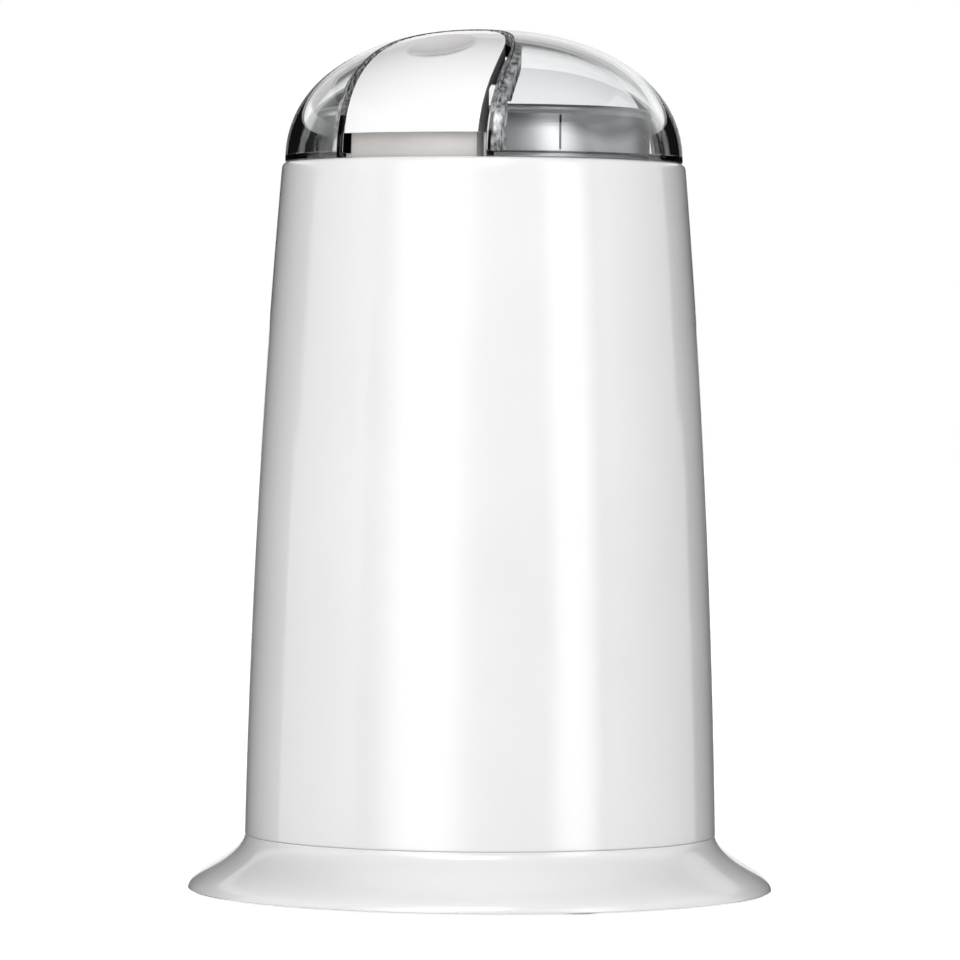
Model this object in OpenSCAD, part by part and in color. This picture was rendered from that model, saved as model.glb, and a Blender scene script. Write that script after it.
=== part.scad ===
// Blade grinder for spices and coffee: a tapered housing on a flared foot, a steel bowl over a
// universal motor, a clear dome lid with a slot, and a push button that fills the slot.
// Millimetres, +Z up. The origin is the centre of the foot's resting plane, and -Y is the front.

/* [Housing] */
// Diameter of the housing where it meets the foot
body_bottom_d = 96.8; // [94:0.2:102]
// Diameter of the housing at the lid seam
body_top_d = 82.7; // [82:0.1:86]
// How far the housing's side bulges beyond a straight cone, halfway up
body_bulge = 1.1; // [0:0.1:2.5]
// Height of the housing, from the foot to the lid seam
body_h = 137.6; // [134:0.2:150]
// Wall thickness of the housing
body_wall = 2.4; // [2:0.1:2.8]
// Radius of the rounded shoulder below the lid
shoulder_r = 1.0; // [0.4:0.1:1.4]
// Width of the housing's rim under the lid
rim_w = 2.6; // [2.2:0.1:2.8]
// Depth of the inner ledge below the rim
ledge_drop = 3.2; // [2.6:0.1:4.5]
// Thickness of the inner ledge
ledge_t = 2.4; // [1.8:0.1:3]

/* [Foot] */
// Diameter of the flared foot
foot_d = 120; // [116:0.5:130]
// Height of the flared foot
foot_h = 11.8; // [11:0.1:14]
// Wall thickness of the foot
foot_wall = 2.2; // [1.8:0.1:2.4]
// Gap between the foot's rim and the table
foot_lift = 0.6; // [0.4:0.1:1.2]
// Height of the ring that plugs into the housing
spigot_h = 4.2; // [3:0.1:6]
// Diameter of a rubber pad
pad_d = 10; // [8:0.5:11]
// Distance of the rubber pads' centres from the foot's edge
pad_inset = 10; // [9:0.5:12]
// Distance of the foot's screws from the housing's outside
foot_screw_inset = 9.4; // [9:0.1:12]
// Number of vent slots in the foot's floor
vent_count = 10; // [6:1:14]

/* [Lid] */
// Diameter of the dome lid at the seam
lid_d = 81.6; // [81:0.1:82.2]
// Height of the dome above the seam
lid_h = 27.4; // [26.5:0.1:30]
// Power of the superellipse that shapes the dome, where 2 is an ellipse
dome_power = 2.2; // [2.05:0.05:2.4]
// Wall thickness of the lid
lid_wall = 2.5; // [1.8:0.1:2.8]
// Thickness of the flange round the lid's mouth
lid_flange_t = 1.1; // [0.8:0.1:1.6]
// Thickness of the ring that centres the lid in the housing
lid_spigot_t = 1.8; // [1.4:0.1:1.9]
// Width of the slot that the button stands in
slot_w = 32.2; // [31.6:0.1:32.8]
// Distance of the slot's inner end from the axis
slot_end = 7; // [6:0.2:9]
// Distance from the axis at which the slot reaches its full width
slot_full_r = 37.4; // [36:0.2:39]
// Power of the superellipse that rounds the slot's inner end, where 2 is an ellipse
slot_power = 2.5; // [2.2:0.1:3]
// Thickness of the wall that lines the slot
slot_wall_t = 1.6; // [1.2:0.1:2]
// Depth of that wall below the dome
slot_wall_depth = 5; // [4.4:0.1:7]

/* [Button] */
// Gap between the button and the slot all round
button_gap = 1.5; // [1.2:0.05:1.8]
// Drop of the button's surface below the dome's
button_drop = 0.2; // [0.1:0.05:0.4]
// Height of the button's lower edge above the seam
button_edge_h = 4.9; // [4.6:0.1:6]
// Wall thickness of the button cap
button_wall = 2.4; // [2:0.1:2.6]
// Depth of the cap's skirt below the dome
cap_skirt = 5; // [4:0.1:6]
// How far the neck is set in from the cap's sides
neck_inset = 1.0; // [0.6:0.1:1.3]
// Travel of the button
button_travel = 3.5; // [2.5:0.1:3.6]
// Distance of the finger dish from the axis
dish_place_r = 23.2; // [22.5:0.1:25]
// Radius of the finger dish
dish_r = 8.0; // [6:0.1:8.5]
// Depth of the finger dish
dish_depth = 1.25; // [0.6:0.05:1.5]
// Radius of the actuator rod
rod_r = 1.5; // [1.3:0.05:1.6]
// Radius of the return spring's wire
spring_wire_r = 0.3; // [0.25:0.05:0.35]

/* [Bowl and blade] */
// Outer diameter of the steel bowl
bowl_d = 68; // [66:0.2:68.2]
// Sheet thickness of the bowl
bowl_t = 0.8; // [0.6:0.1:1]
// Height of the bowl's rim above the lid seam
bowl_rise = 10.4; // [9:0.1:10.8]
// Depth of the bowl, outside
bowl_depth = 43.8; // [42:0.2:46]
// Corner radius of the bowl's bottom, outside
bowl_corner_r = 7; // [5:0.5:8]
// Length of the blade from tip to tip
blade_span = 56; // [50:0.5:60]
// Width of the blade
blade_w = 11; // [9:0.5:13]
// Thickness of the blade
blade_t = 1.4; // [1:0.1:1.8]
// Height of the blade above the bowl's floor
blade_h = 6.4; // [5.5:0.1:8]

/* [Motor] */
// Radius of the shaft
shaft_r = 2.5; // [2.3:0.05:2.6]
// Radius of the rotor
rotor_r = 15; // [14:0.1:15.2]
// Air gap between the rotor and the stator
air_gap = 0.4; // [0.3:0.05:0.5]
// Height of the lamination stack
stack_h = 22; // [18:0.5:24]
// Outer radius of the stator
stator_r = 29.5; // [29:0.1:30]
// Number of slots in the rotor
rotor_slots = 10; // [8:1:12]
// Outer radius of the commutator
commutator_r = 7.5; // [7:0.1:8]
// Height of the rubber mounts that carry the motor
mount_h = 5; // [4:0.1:6]

/* [Hidden] */
$fn = 96;

// Clearances and small shared sizes
run_gap = 0.03;      // a turning shaft in its bushing
press_gap = 0.02;    // pieces that are pressed together
slide_gap = 0.3;     // moving pieces beside fixed ones
seat_gap = 0.2;      // a plug in its socket
guide_gap = 0.1;     // a rod in its guide
over = 1;            // how far a cutter runs past a face
m3_r = 1.5;          // thread of the bolts and studs
m3_hole_r = 1.7;     // clearance hole for them
tap_r = 1.2;         // thread of the small self-tapping screws
tap_hole_r = 1.25;   // their pilot hole
tap_head_r = 2.8;
tap_head_h = 2;
nut_r = 3.1;         // across the corners
nut_h = 2.4;
white = [0.94, 0.94, 0.94];
warm_grey = [0.80, 0.78, 0.76];
steel = [0.72, 0.73, 0.74];
brass = [0.80, 0.66, 0.36];
copper = [0.76, 0.45, 0.26];
black = [0.10, 0.10, 0.11];
rubber = [0.16, 0.16, 0.17];
natural = [0.86, 0.84, 0.78];

// Levels of the outside
body_bottom_r = body_bottom_d / 2;
body_top_r = body_top_d / 2;
body_top_z = foot_h + body_h;
lid_r = lid_d / 2;
foot_r = foot_d / 2;
pad_place_r = foot_r - pad_inset;
pad_h = 2.4;
pad_stem_r = 2;
pad_stem_h = 2.8;
foot_screw_place_r = body_bottom_r - foot_screw_inset;
vent_w = 3;
vent_l = 16;
vent_in_r = 14;
ledge_z = body_top_z - ledge_drop;
ledge_r = body_top_r - rim_w;
body_side_steps = 12;

// Levels of the bowl, down from the seam
bowl_r = bowl_d / 2;
bead_w = 0.5;
bead_h = 0.7;
bowl_rim_z = body_top_z + bowl_rise;
bowl_z = bowl_rim_z - bowl_depth;
bowl_floor_z = bowl_z + bowl_t;
bowl_hub_r = 5.2;

// Levels of the carrier, down from the bowl
gasket_h = 2;
gasket_in_r = 21.5;
gasket_out_r = 26;
platform_h = 5;
platform_lip = 1;
carrier_t = 3;
carrier_top_z = bowl_z - gasket_h - platform_h;
carrier_z = carrier_top_z - carrier_t;
carrier_r = body_r(carrier_top_z) - body_wall - 0.8;
mount_boss_h = 5;
mount_place_r = 22;
carrier_hub_r = 9;
stud_place_r = 14;
stud_end_z = carrier_z - 3.5;
carrier_boss_r = 3.25;
carrier_screw_place_r = carrier_r - carrier_boss_r;
carrier_screw_angles = [90, 210, 330];
stud_angles = [30, 150, 270];
mount_angles = [45, 135, 225, 315];

// Levels of the motor, down from its rubber mounts
bracket_t = 2;
bracket_r = 28.5;
bracket_top_z = carrier_z - mount_boss_h - mount_h;
bracket_z = bracket_top_z - bracket_t;
end_turn_h = 6;
end_turn_gap = 0.3;
leg_h = 10;
stack_top_z = bracket_z - leg_h;
stack_z = stack_top_z - stack_h;
stator_bore_r = rotor_r + air_gap;
bolt_place_r = 26.4;
leg_r = 2.6;
bell_h = 6.5;
washer_r = 4.2;
bushing_r = 5.5;
bushing_h = 7;
upper_bushing_z = bracket_z - 1.5;
commutator_h = 9;
commutator_z = stack_z - bell_h - 1 - commutator_h;
brush_z = commutator_z + commutator_h / 2;
lower_washer_h = 1.5;
thrust_gap = 0.3;
lower_bushing_h = 5.7;
lower_bushing_top_z = commutator_z - lower_washer_h - thrust_gap;
lower_bushing_z = lower_bushing_top_z - lower_bushing_h;
lower_bracket_t = 3;
lower_bracket_z = lower_bushing_z + 2;
lower_bracket_top_z = lower_bracket_z + lower_bracket_t;
shaft_z = lower_bushing_z + 0.3;
blade_z = bowl_floor_z + blade_h;
blade_hole_r = 2;
shaft_top_z = blade_z + blade_t + 4.5;

// Button and what it pushes
button_w = slot_w - 2 * button_gap;
button_end = slot_end + button_gap;
cap_z = body_top_z + button_edge_h;
neck_w = button_w - 2 * neck_inset;
neck_in_r = bowl_r + bead_w + 0.6;
neck_out_r = ledge_r - slide_gap - 0.15;
neck_z = ledge_z - ledge_t - 6;
rod_place_r = (neck_in_r + neck_out_r) / 2;
rod_head_r = 2.4;
rod_head_h = 1.2;
spring_mean_r = rod_r + 0.3 + spring_wire_r;
spring_top_z = neck_z - rod_head_h;
shelf_z = carrier_top_z + 8.5;
shelf_t = 3;
spring_z = shelf_z + shelf_t;

// Microswitch under the carrier
switch_l = 20;
switch_t = 6.4;
switch_h = 10;
switch_z = carrier_z - 16;
switch_top_z = switch_z + switch_h;
switch_plate_t = 1.6;
switch_back_r = bracket_r + 1.8 + switch_plate_t;
switch_mid_r = switch_back_r + switch_t / 2;
switch_x = -16;
pivot_x = switch_x + 1.8;
pivot_z = switch_top_z + 1.6;
pivot_r = 0.6;
eye_r = 1.1;
lever_t = 0.5;
lever_w = 4;
lever_reach = 3;
lever_rise = 2.75;
lever_angle = atan(lever_rise / -pivot_x);
rod_z = pivot_z + lever_rise + lever_t / 2 + slide_gap;
plunger_x = pivot_x + 5.2;
plunger_r = 1.3;
plunger_top_z = pivot_z + 5.2 * tan(lever_angle) - lever_t / 2 - slide_gap;
plunger_travel = 1.3;
plunger_z = plunger_top_z - 4.1;
switch_pins_x = [switch_x + 5.25, switch_x + 14.75];
switch_pin_z = switch_z + 3;
switch_pin_r = 1.4;

// Cord gland, halfway up the second ring of the housing's side
body_side_step = (body_h - shoulder_r) / body_side_steps;
gland_z = foot_h + body_side_step * 1.5;
gland_bore_r = 3.2;
gland_neck_r = 4.9;
gland_flange_r = 6.8;
gland_flange_t = 1.4;

// Outlines

// Radius of the housing's side at a height: a cone with a parabolic bulge
function body_r(z) =
    let (t = (z - foot_h) / body_h)
    body_bottom_r * (1 - t) + body_top_r * t + 4 * body_bulge * t * (1 - t);

function body_side(inset, z0, z1, steps = body_side_steps) =
    [for (i = [0:steps]) let (z = z0 + (z1 - z0) * i / steps) [body_r(z) - inset, z]];

// Points along an arc
function arc(centre, r, a0, a1, steps = 6) =
    [for (i = [0:steps]) let (a = a0 + (a1 - a0) * i / steps) centre + r * [cos(a), sin(a)]];

// Side of the flared foot: an S-curve from the rim up to the neck
function foot_side(inset, drop, steps = 14) =
    [for (i = [0:steps]) let (t = i / steps)
        [body_bottom_r + (foot_r - body_bottom_r) * (1 + cos(180 * t)) / 2 - inset,
         foot_lift + (foot_h - foot_lift) * t - drop]];

// Half outline of the dome, from the seam to the apex
function dome_side(inset, steps = 20) =
    [for (i = [0:steps]) let (f = 90 * i / steps)
        [(lid_r - inset) * pow(cos(f), 2 / dome_power),
         body_top_z + (lid_h - inset) * pow(sin(f), 2 / dome_power)]];

function dome_z(r) =
    body_top_z + lid_h * pow(1 - pow(r / lid_r, dome_power), 1 / dome_power);

function on_circle(r, a) = [r * cos(a), r * sin(a), 0];

// Shared modules

module ring(r_out, r_in, h) {
    difference() {
        cylinder(r = r_out, h = h);
        translate([0, 0, -over]) cylinder(r = r_in, h = h + 2 * over);
    }
}

// Pie slice between two angles, for cutting rings
module slice_2d(r, a0, a1) {
    polygon(concat([[0, 0]], [for (i = [0:8]) let (a = a0 + (a1 - a0) * i / 8) r * [cos(a), sin(a)]]));
}

module sector_2d(r_in, r_out, a0, a1) {
    intersection() {
        difference() {
            circle(r = r_out);
            circle(r = r_in);
        }
        slice_2d(r_out * 1.3, a0, a1);
    }
}

module dome_solid(inset = 0) {
    rotate_extrude() polygon(concat([[0, body_top_z]], dome_side(inset)));
}

// Plan of the slot, open to the front, that narrows to its inner end along a superellipse
module slot_plan(w, end) {
    steps = 40;
    reach = slot_full_r - end;
    function side(a, size) = size * sign(a) * pow(abs(a), 2 / slot_power);
    polygon(concat(
        [[-w / 2, -lid_d], [w / 2, -lid_d]],
        [for (i = [0:steps]) let (a = 180 * i / steps)
            [side(cos(a), w / 2), side(sin(a), reach) - slot_full_r]]));
}

// Wire coil standing on z = 0, with one closed turn at each end
module coil_spring(mean_r, wire_r, length, turns) {
    steps = 16;
    sides = 6;
    count = steps * turns;
    closed = 2.1 * wire_r;
    rise = length - 2 * wire_r;
    open_pitch = (rise - 2 * closed) / (turns - 2);
    function height(t) =
        t < 1 ? closed * t
        : t > turns - 1 ? rise - closed * (turns - t)
        : closed + open_pitch * (t - 1);
    points = [for (i = [0:count]) let (a = 360 * i / steps, z = wire_r + height(i / steps))
        for (j = [0:sides - 1]) let (b = 360 * j / sides, d = mean_r + wire_r * cos(b))
            [d * cos(a), d * sin(a), z + wire_r * sin(b)]];
    walls = [for (i = [0:count - 1], j = [0:sides - 1])
        let (k = (j + 1) % sides)
            [i * sides + j, i * sides + k, (i + 1) * sides + k, (i + 1) * sides + j]];
    first = [for (j = [sides - 1:-1:0]) j];
    last = [for (j = [0:sides - 1]) count * sides + j];
    polyhedron(points, concat(walls, [first, last]), convexity = 8);
}

// Self-tapping screw pointing up, with its head's face on z = 0
module tapping_screw(r, length, head_r, head_h) {
    cylinder(r = r, h = length);
    translate([0, 0, -head_h]) difference() {
        cylinder(r1 = head_r * 0.8, r2 = head_r, h = head_h);
        translate([0, 0, -over]) {
            translate([-head_r * 0.55, -0.35, 0]) cube([head_r * 1.1, 0.7, over + 1]);
            translate([-0.35, -head_r * 0.55, 0]) cube([0.7, head_r * 1.1, over + 1]);
        }
    }
}

module hex_nut(hole_r) {
    difference() {
        cylinder(r = nut_r, h = nut_h, $fn = 6);
        translate([0, 0, -over]) cylinder(r = hole_r, h = nut_h + 2 * over);
    }
}

// Housing: one shell with the rim, the inner ledge, screw bosses and the spring shelf
module housing() {
    ledge_under_z = ledge_z - ledge_t;
    inner = [for (p = body_side(body_wall, foot_h, body_top_z - shoulder_r))
        if (p[1] < ledge_under_z - 1) p];
    foot_boss_r = 3.6;
    foot_boss_top_z = foot_h + spigot_h + 18;
    web_h = 12;
    color(white) difference() {
        union() {
            rotate_extrude() polygon(concat(
                body_side(0, foot_h, body_top_z - shoulder_r),
                arc([body_top_r - shoulder_r, body_top_z - shoulder_r], shoulder_r, 15, 90, 5),
                [[ledge_r, body_top_z], [ledge_r, ledge_z],
                 [bowl_r + slide_gap, ledge_z], [bowl_r + slide_gap, ledge_under_z],
                 [body_r(ledge_under_z) - body_wall, ledge_under_z]],
                [for (i = [len(inner) - 1:-1:0]) inner[i]]));
            for (a = carrier_screw_angles) rotate(a) {
                translate([carrier_screw_place_r, 0, carrier_top_z])
                    cylinder(r = carrier_boss_r, h = ledge_under_z - carrier_top_z + over);
                translate([carrier_screw_place_r, -1, carrier_top_z])
                    cube([body_r(carrier_top_z + web_h) - body_wall / 2 - carrier_screw_place_r, 2,
                          web_h]);
            }
            for (a = stud_angles) rotate(a) {
                translate([foot_screw_place_r, 0, foot_h - 1])
                    cylinder(r = foot_boss_r, h = foot_boss_top_z - foot_h + 1);
                translate([foot_screw_place_r, -1.2, foot_h + spigot_h + 0.5])
                    cube([body_r(foot_boss_top_z) - body_wall / 2 - foot_screw_place_r, 2.4,
                          foot_boss_top_z - foot_h - spigot_h - 0.5]);
            }
            intersection() {
                translate([-6, -body_bottom_r, shelf_z])
                    cube([12, body_bottom_r - bowl_r - 0.6, shelf_t]);
                cylinder(r = body_r(shelf_z + shelf_t) - body_wall / 2, h = body_top_z);
            }
        }
        // way for the button's neck through the ledge
        intersection() {
            translate([-neck_w / 2 - slide_gap, -ledge_r, ledge_under_z - over])
                cube([neck_w + 2 * slide_gap, ledge_r, ledge_t + 2 * over]);
            cylinder(r = ledge_r, h = body_top_z);
        }
        translate([0, -rod_place_r, shelf_z - over])
            cylinder(r = rod_r + guide_gap, h = shelf_t + 2 * over);
        for (a = carrier_screw_angles)
            translate(on_circle(carrier_screw_place_r, a) + [0, 0, carrier_top_z - over])
                cylinder(r = tap_hole_r, h = 14);
        for (a = stud_angles)
            translate(on_circle(foot_screw_place_r, a) + [0, 0, foot_h - 1 - over])
                cylinder(r = tap_hole_r, h = 18);
        // seat of the cord gland
        translate([0, 0, gland_z]) rotate([-90, 0, 0])
            cylinder(r = gland_neck_r + press_gap, h = body_bottom_r + over);
    }
}

// Flared foot with a vented floor, a plug ring, pad bosses and screw holes
module base_foot() {
    floor_z = foot_h - 1 - foot_wall;
    spigot_r = body_bottom_r - body_wall - seat_gap;
    rim_in = 1.8;
    rim_drop = 1.7;
    color(white) difference() {
        union() {
            difference() {
                rotate_extrude() polygon(concat([[0, foot_lift]], foot_side(0, 0), [[0, foot_h]]));
                // hollow under the flare and the floor
                rotate_extrude() polygon(concat(
                    [[0, -over], [foot_r - rim_in, -over]],
                    [for (p = foot_side(rim_in, rim_drop)) if (p[1] < floor_z) p],
                    [[body_bottom_r - rim_in - foot_wall, floor_z], [0, floor_z]]));
                // well above the floor
                translate([0, 0, foot_h - 1])
                    cylinder(r = spigot_r - foot_wall, h = 1 + over);
            }
            translate([0, 0, foot_h - 1]) ring(spigot_r, spigot_r - foot_wall, spigot_h + 1);
            intersection() {
                rotate_extrude() polygon(concat([[0, foot_lift]], foot_side(0, 0), [[0, foot_h - 1]]));
                for (a = mount_angles)
                    translate(on_circle(pad_place_r, a) + [0, 0, pad_h])
                        cylinder(r = pad_d / 2 + 1, h = foot_h);
            }
        }
        for (a = mount_angles)
            translate(on_circle(pad_place_r, a) + [0, 0, pad_h - over])
                cylinder(r = pad_stem_r + press_gap, h = pad_stem_h + seat_gap + over);
        for (a = stud_angles)
            translate(on_circle(foot_screw_place_r, a) + [0, 0, floor_z - over])
                cylinder(r = m3_hole_r, h = foot_wall + 2 * over);
        for (i = [0:vent_count - 1]) rotate(360 * i / vent_count)
            translate([vent_in_r, -vent_w / 2, floor_z - over])
                cube([vent_l, vent_w, foot_wall + 2 * over]);
    }
}

module rubber_feet() {
    color(rubber) for (a = mount_angles)
        translate(on_circle(pad_place_r, a)) {
            cylinder(r = pad_d / 2, h = pad_h);
            translate([0, 0, pad_h]) cylinder(r = pad_stem_r, h = pad_stem_h);
        }
}

module foot_screws() {
    color(steel) for (a = stud_angles)
        translate(on_circle(foot_screw_place_r, a) + [0, 0, foot_h - 1 - foot_wall])
            tapping_screw(tap_r, 14, tap_head_r, tap_head_h);
}

// Cone that follows the housing's side beside the gland
module wall_cone(inset) {
    reach = 12;
    translate([0, 0, gland_z - reach])
        cylinder(r1 = body_r(gland_z - reach) - inset, r2 = body_r(gland_z + reach) - inset,
                 h = 2 * reach, $fn = 288);
}

// Rubber bush in the rear wall that the mains cord comes out of
module cord_gland() {
    wall_r = body_r(gland_z);
    color(rubber) difference() {
        union() {
            translate([0, wall_r - body_wall - gland_flange_t, gland_z]) rotate([-90, 0, 0])
                cylinder(r = gland_neck_r, h = body_wall + 2 * gland_flange_t);
            difference() {
                translate([0, wall_r - 0.8, gland_z]) rotate([-90, 0, 0])
                    cylinder(r = gland_flange_r, h = gland_flange_t + 0.8);
                wall_cone(-0.05);
            }
            intersection() {
                translate([0, wall_r - body_wall - gland_flange_t, gland_z]) rotate([-90, 0, 0])
                    cylinder(r = gland_flange_r, h = gland_flange_t + 1);
                wall_cone(body_wall + 0.05);
            }
        }
        translate([0, 0, gland_z]) rotate([-90, 0, 0]) cylinder(r = gland_bore_r, h = foot_r);
    }
}

// Plastic plate that hangs in the housing and carries the bowl, the motor and the switch
module motor_carrier() {
    rib_h = 3;
    color(natural) difference() {
        union() {
            translate([0, 0, carrier_z]) cylinder(r = carrier_r, h = carrier_t);
            translate([0, 0, carrier_top_z])
                ring(gasket_out_r + platform_lip, gasket_in_r - platform_lip, platform_h);
            for (a = stud_angles)
                translate(on_circle(stud_place_r, a) + [0, 0, carrier_top_z])
                    cylinder(r = 3.6, h = platform_h + gasket_h);
            translate([0, 0, carrier_z - rib_h]) ring(carrier_r, carrier_r - 1.6, rib_h);
            translate([0, 0, carrier_z - rib_h]) ring(carrier_hub_r + 1.6, carrier_hub_r, rib_h);
            for (a = mount_angles) {
                translate(on_circle(mount_place_r, a) + [0, 0, carrier_z - mount_boss_h])
                    cylinder(r = 4.5, h = mount_boss_h);
                rotate(a) translate([mount_place_r, -0.8, carrier_z - rib_h])
                    cube([carrier_r - mount_place_r - 0.8, 1.6, rib_h]);
            }
            // bracket with two pins for the switch
            translate([switch_x - 1, -switch_back_r, switch_z - 0.5])
                cube([switch_l + 2, switch_plate_t, carrier_z - switch_z + 0.5]);
            for (x = switch_pins_x)
                translate([x, -switch_back_r, switch_pin_z]) rotate([90, 0, 0])
                    cylinder(r = switch_pin_r, h = switch_t - 0.4);
        }
        translate([0, 0, carrier_z - over]) cylinder(r = carrier_hub_r, h = carrier_t + 2 * over);
        for (a = stud_angles)
            translate(on_circle(stud_place_r, a) + [0, 0, carrier_z - over])
                cylinder(r = m3_hole_r, h = carrier_t + platform_h + gasket_h + 2 * over);
        for (a = mount_angles)
            translate(on_circle(mount_place_r, a) + [0, 0, carrier_z - mount_boss_h - over])
                cylinder(r = tap_hole_r, h = mount_boss_h + 1.5 + over);
        for (a = carrier_screw_angles)
            translate(on_circle(carrier_screw_place_r, a) + [0, 0, carrier_z - rib_h - over]) {
                cylinder(r = m3_hole_r, h = carrier_t + rib_h + 2 * over);
                cylinder(r = tap_head_r + 0.4, h = rib_h + over);
            }
        translate([0, -rod_place_r, carrier_z - over])
            cylinder(r = rod_r + slide_gap + 0.1, h = carrier_t + 2 * over);
    }
}

module carrier_screws() {
    color(steel) for (a = carrier_screw_angles)
        translate(on_circle(carrier_screw_place_r, a) + [0, 0, carrier_z])
            tapping_screw(tap_r, carrier_t + 11, tap_head_r, tap_head_h);
}

// Deep-drawn bowl with a rolled rim, a drain-tight hub hole and three welded studs
module bowl() {
    corner = [bowl_r - bowl_corner_r, bowl_z + bowl_corner_r];
    color(steel) {
        rotate_extrude() polygon(concat(
            [[bowl_hub_r, bowl_z]],
            arc(corner, bowl_corner_r, -90, 0, 8),
            [[bowl_r, bowl_rim_z - bead_h - bead_w], [bowl_r + bead_w, bowl_rim_z - bead_h],
             [bowl_r + bead_w, bowl_rim_z - 0.2], [bowl_r + bead_w - 0.2, bowl_rim_z],
             [bowl_r - bowl_t + 0.2, bowl_rim_z], [bowl_r - bowl_t, bowl_rim_z - 0.2]],
            arc(corner, bowl_corner_r - bowl_t, 0, -90, 8),
            [[bowl_hub_r, bowl_floor_z]]));
        for (a = stud_angles)
            translate(on_circle(stud_place_r, a) + [0, 0, stud_end_z])
                cylinder(r = m3_r, h = bowl_z - stud_end_z + bowl_t / 2);
    }
}

module bowl_gasket() {
    color(rubber) translate([0, 0, bowl_z - gasket_h]) ring(gasket_out_r, gasket_in_r, gasket_h);
}

module bowl_nuts() {
    color(steel) for (a = stud_angles)
        translate(on_circle(stud_place_r, a) + [0, 0, carrier_z - nut_h]) hex_nut(m3_r + press_gap);
}

// Rubber bush in the bowl's floor that the shaft runs through
module shaft_seal() {
    groove_r = bowl_hub_r - press_gap;
    lip_r = bowl_hub_r + 2.3;
    color(rubber) rotate_extrude() polygon([
        [shaft_r + slide_gap, bowl_z - 1.2], [lip_r, bowl_z - 1.2], [lip_r, bowl_z],
        [groove_r, bowl_z], [groove_r, bowl_floor_z], [lip_r, bowl_floor_z],
        [lip_r - 1.2, bowl_floor_z + 1.2], [shaft_r + 1.4, bowl_floor_z + 2.4],
        [shaft_r + slide_gap, bowl_floor_z + 2.4]]);
}

// Wing of the blade along +X: a flat root and a bent tip with a ground edge
module blade_wing(bend) {
    reach = blade_span / 2;
    root = reach * 0.6;
    skew = 4.5;
    grind = 2.6;
    grind_drop = blade_t - 0.25;
    past_z = (reach + over - root) * tan(bend);
    difference() {
        intersection() {
            rotate([90, 0, 0]) translate([0, 0, -blade_w / 2]) linear_extrude(blade_w) polygon([
                [0, 0], [root, 0], [reach + over, past_z],
                [reach + over, past_z + blade_t], [root, blade_t], [0, blade_t]]);
            translate([0, 0, -blade_span / 4]) linear_extrude(blade_span / 2) polygon([
                [-over, -blade_w / 2 - over], [reach - skew, -blade_w / 2 - over],
                [reach, blade_w / 2 + over], [-over, blade_w / 2 + over]]);
        }
        translate([root, 0, blade_t]) rotate([0, -bend, 0]) translate([over, blade_w / 2, 0])
            rotate([90, 0, 90]) linear_extrude(reach) polygon([
                [-grind - over, grind_drop * over / grind],
                [over, -grind_drop * (grind + over) / grind], [over, grind_drop * over / grind]]);
    }
}

module blade() {
    color(steel) translate([0, 0, blade_z]) difference() {
        union() {
            cylinder(r = blade_w / 2 + 1.4, h = blade_t);
            blade_wing(16);
            rotate(180) blade_wing(-12);
        }
        translate([0, 0, -over]) cylinder(r = blade_hole_r + press_gap, h = blade_t + 2 * over);
    }
}

module blade_washer() {
    color(brass) translate([0, 0, blade_z - 1.4]) ring(4.6, shaft_r + press_gap, 1.4);
}

module blade_nut() {
    color(steel) translate([0, 0, blade_z + blade_t]) difference() {
        union() {
            cylinder(r = 4.4, h = 0.9);
            cylinder(r = 3.8, h = 4.2, $fn = 6);
            intersection() {
                translate([0, 0, 2.6]) sphere(r = 3.4);
                translate([0, 0, 3]) cylinder(r = 3.6, h = 4);
            }
        }
        translate([0, 0, -over]) cylinder(r = blade_hole_r + press_gap, h = 4.6 + over);
    }
}

module motor_shaft() {
    color(steel) rotate_extrude() polygon([
        [0, shaft_z], [shaft_r - 0.4, shaft_z], [shaft_r, shaft_z + 0.4], [shaft_r, blade_z],
        [blade_hole_r, blade_z], [blade_hole_r, shaft_top_z - 0.4],
        [blade_hole_r - 0.4, shaft_top_z], [0, shaft_top_z]]);
}

// Laminated rotor with half-closed slots
module rotor_core() {
    color([0.42, 0.43, 0.45]) translate([0, 0, stack_z]) linear_extrude(stack_h) difference() {
        circle(r = rotor_r);
        circle(r = shaft_r + press_gap);
        for (i = [0:rotor_slots - 1]) rotate(360 * i / rotor_slots) {
            translate([rotor_r - 3.8, 0]) circle(r = 2.2, $fn = 24);
            translate([rotor_r - 3, -0.7]) square([4, 1.4]);
        }
    }
}

// Armature winding: wire in every slot, joined by a bell of end turns above and below
module armature_winding() {
    bell_r = rotor_r - 2.4;
    color(copper) {
        for (side = [0, 1]) translate([0, 0, side ? stack_top_z : stack_z - bell_h])
            rotate_extrude() polygon(side
                ? [[shaft_r + 0.4, 0], [bell_r, 0], [bell_r, bell_h * 0.5],
                   [bell_r - 2, bell_h * 0.85], [bell_r - 4.5, bell_h], [shaft_r + 0.4, bell_h]]
                : [[shaft_r + 0.4, 0], [bell_r - 4.5, 0], [bell_r - 2, bell_h * 0.15],
                   [bell_r, bell_h * 0.5], [bell_r, bell_h], [shaft_r + 0.4, bell_h]]);
        for (i = [0:rotor_slots - 1])
            translate(on_circle(rotor_r - 3.8, 360 * i / rotor_slots) + [0, 0, stack_z - 0.5])
                cylinder(r = 2.0, h = stack_h + 1, $fn = 24);
    }
}

// Copper commutator with a groove between its bars
module commutator() {
    color([0.78, 0.50, 0.32]) translate([0, 0, commutator_z]) linear_extrude(commutator_h + 1)
        difference() {
            circle(r = commutator_r);
            circle(r = shaft_r + press_gap);
            for (i = [0:rotor_slots - 1]) rotate(360 * i / rotor_slots)
                translate([commutator_r - 0.8, -0.3]) square([2, 0.6]);
        }
}

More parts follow.
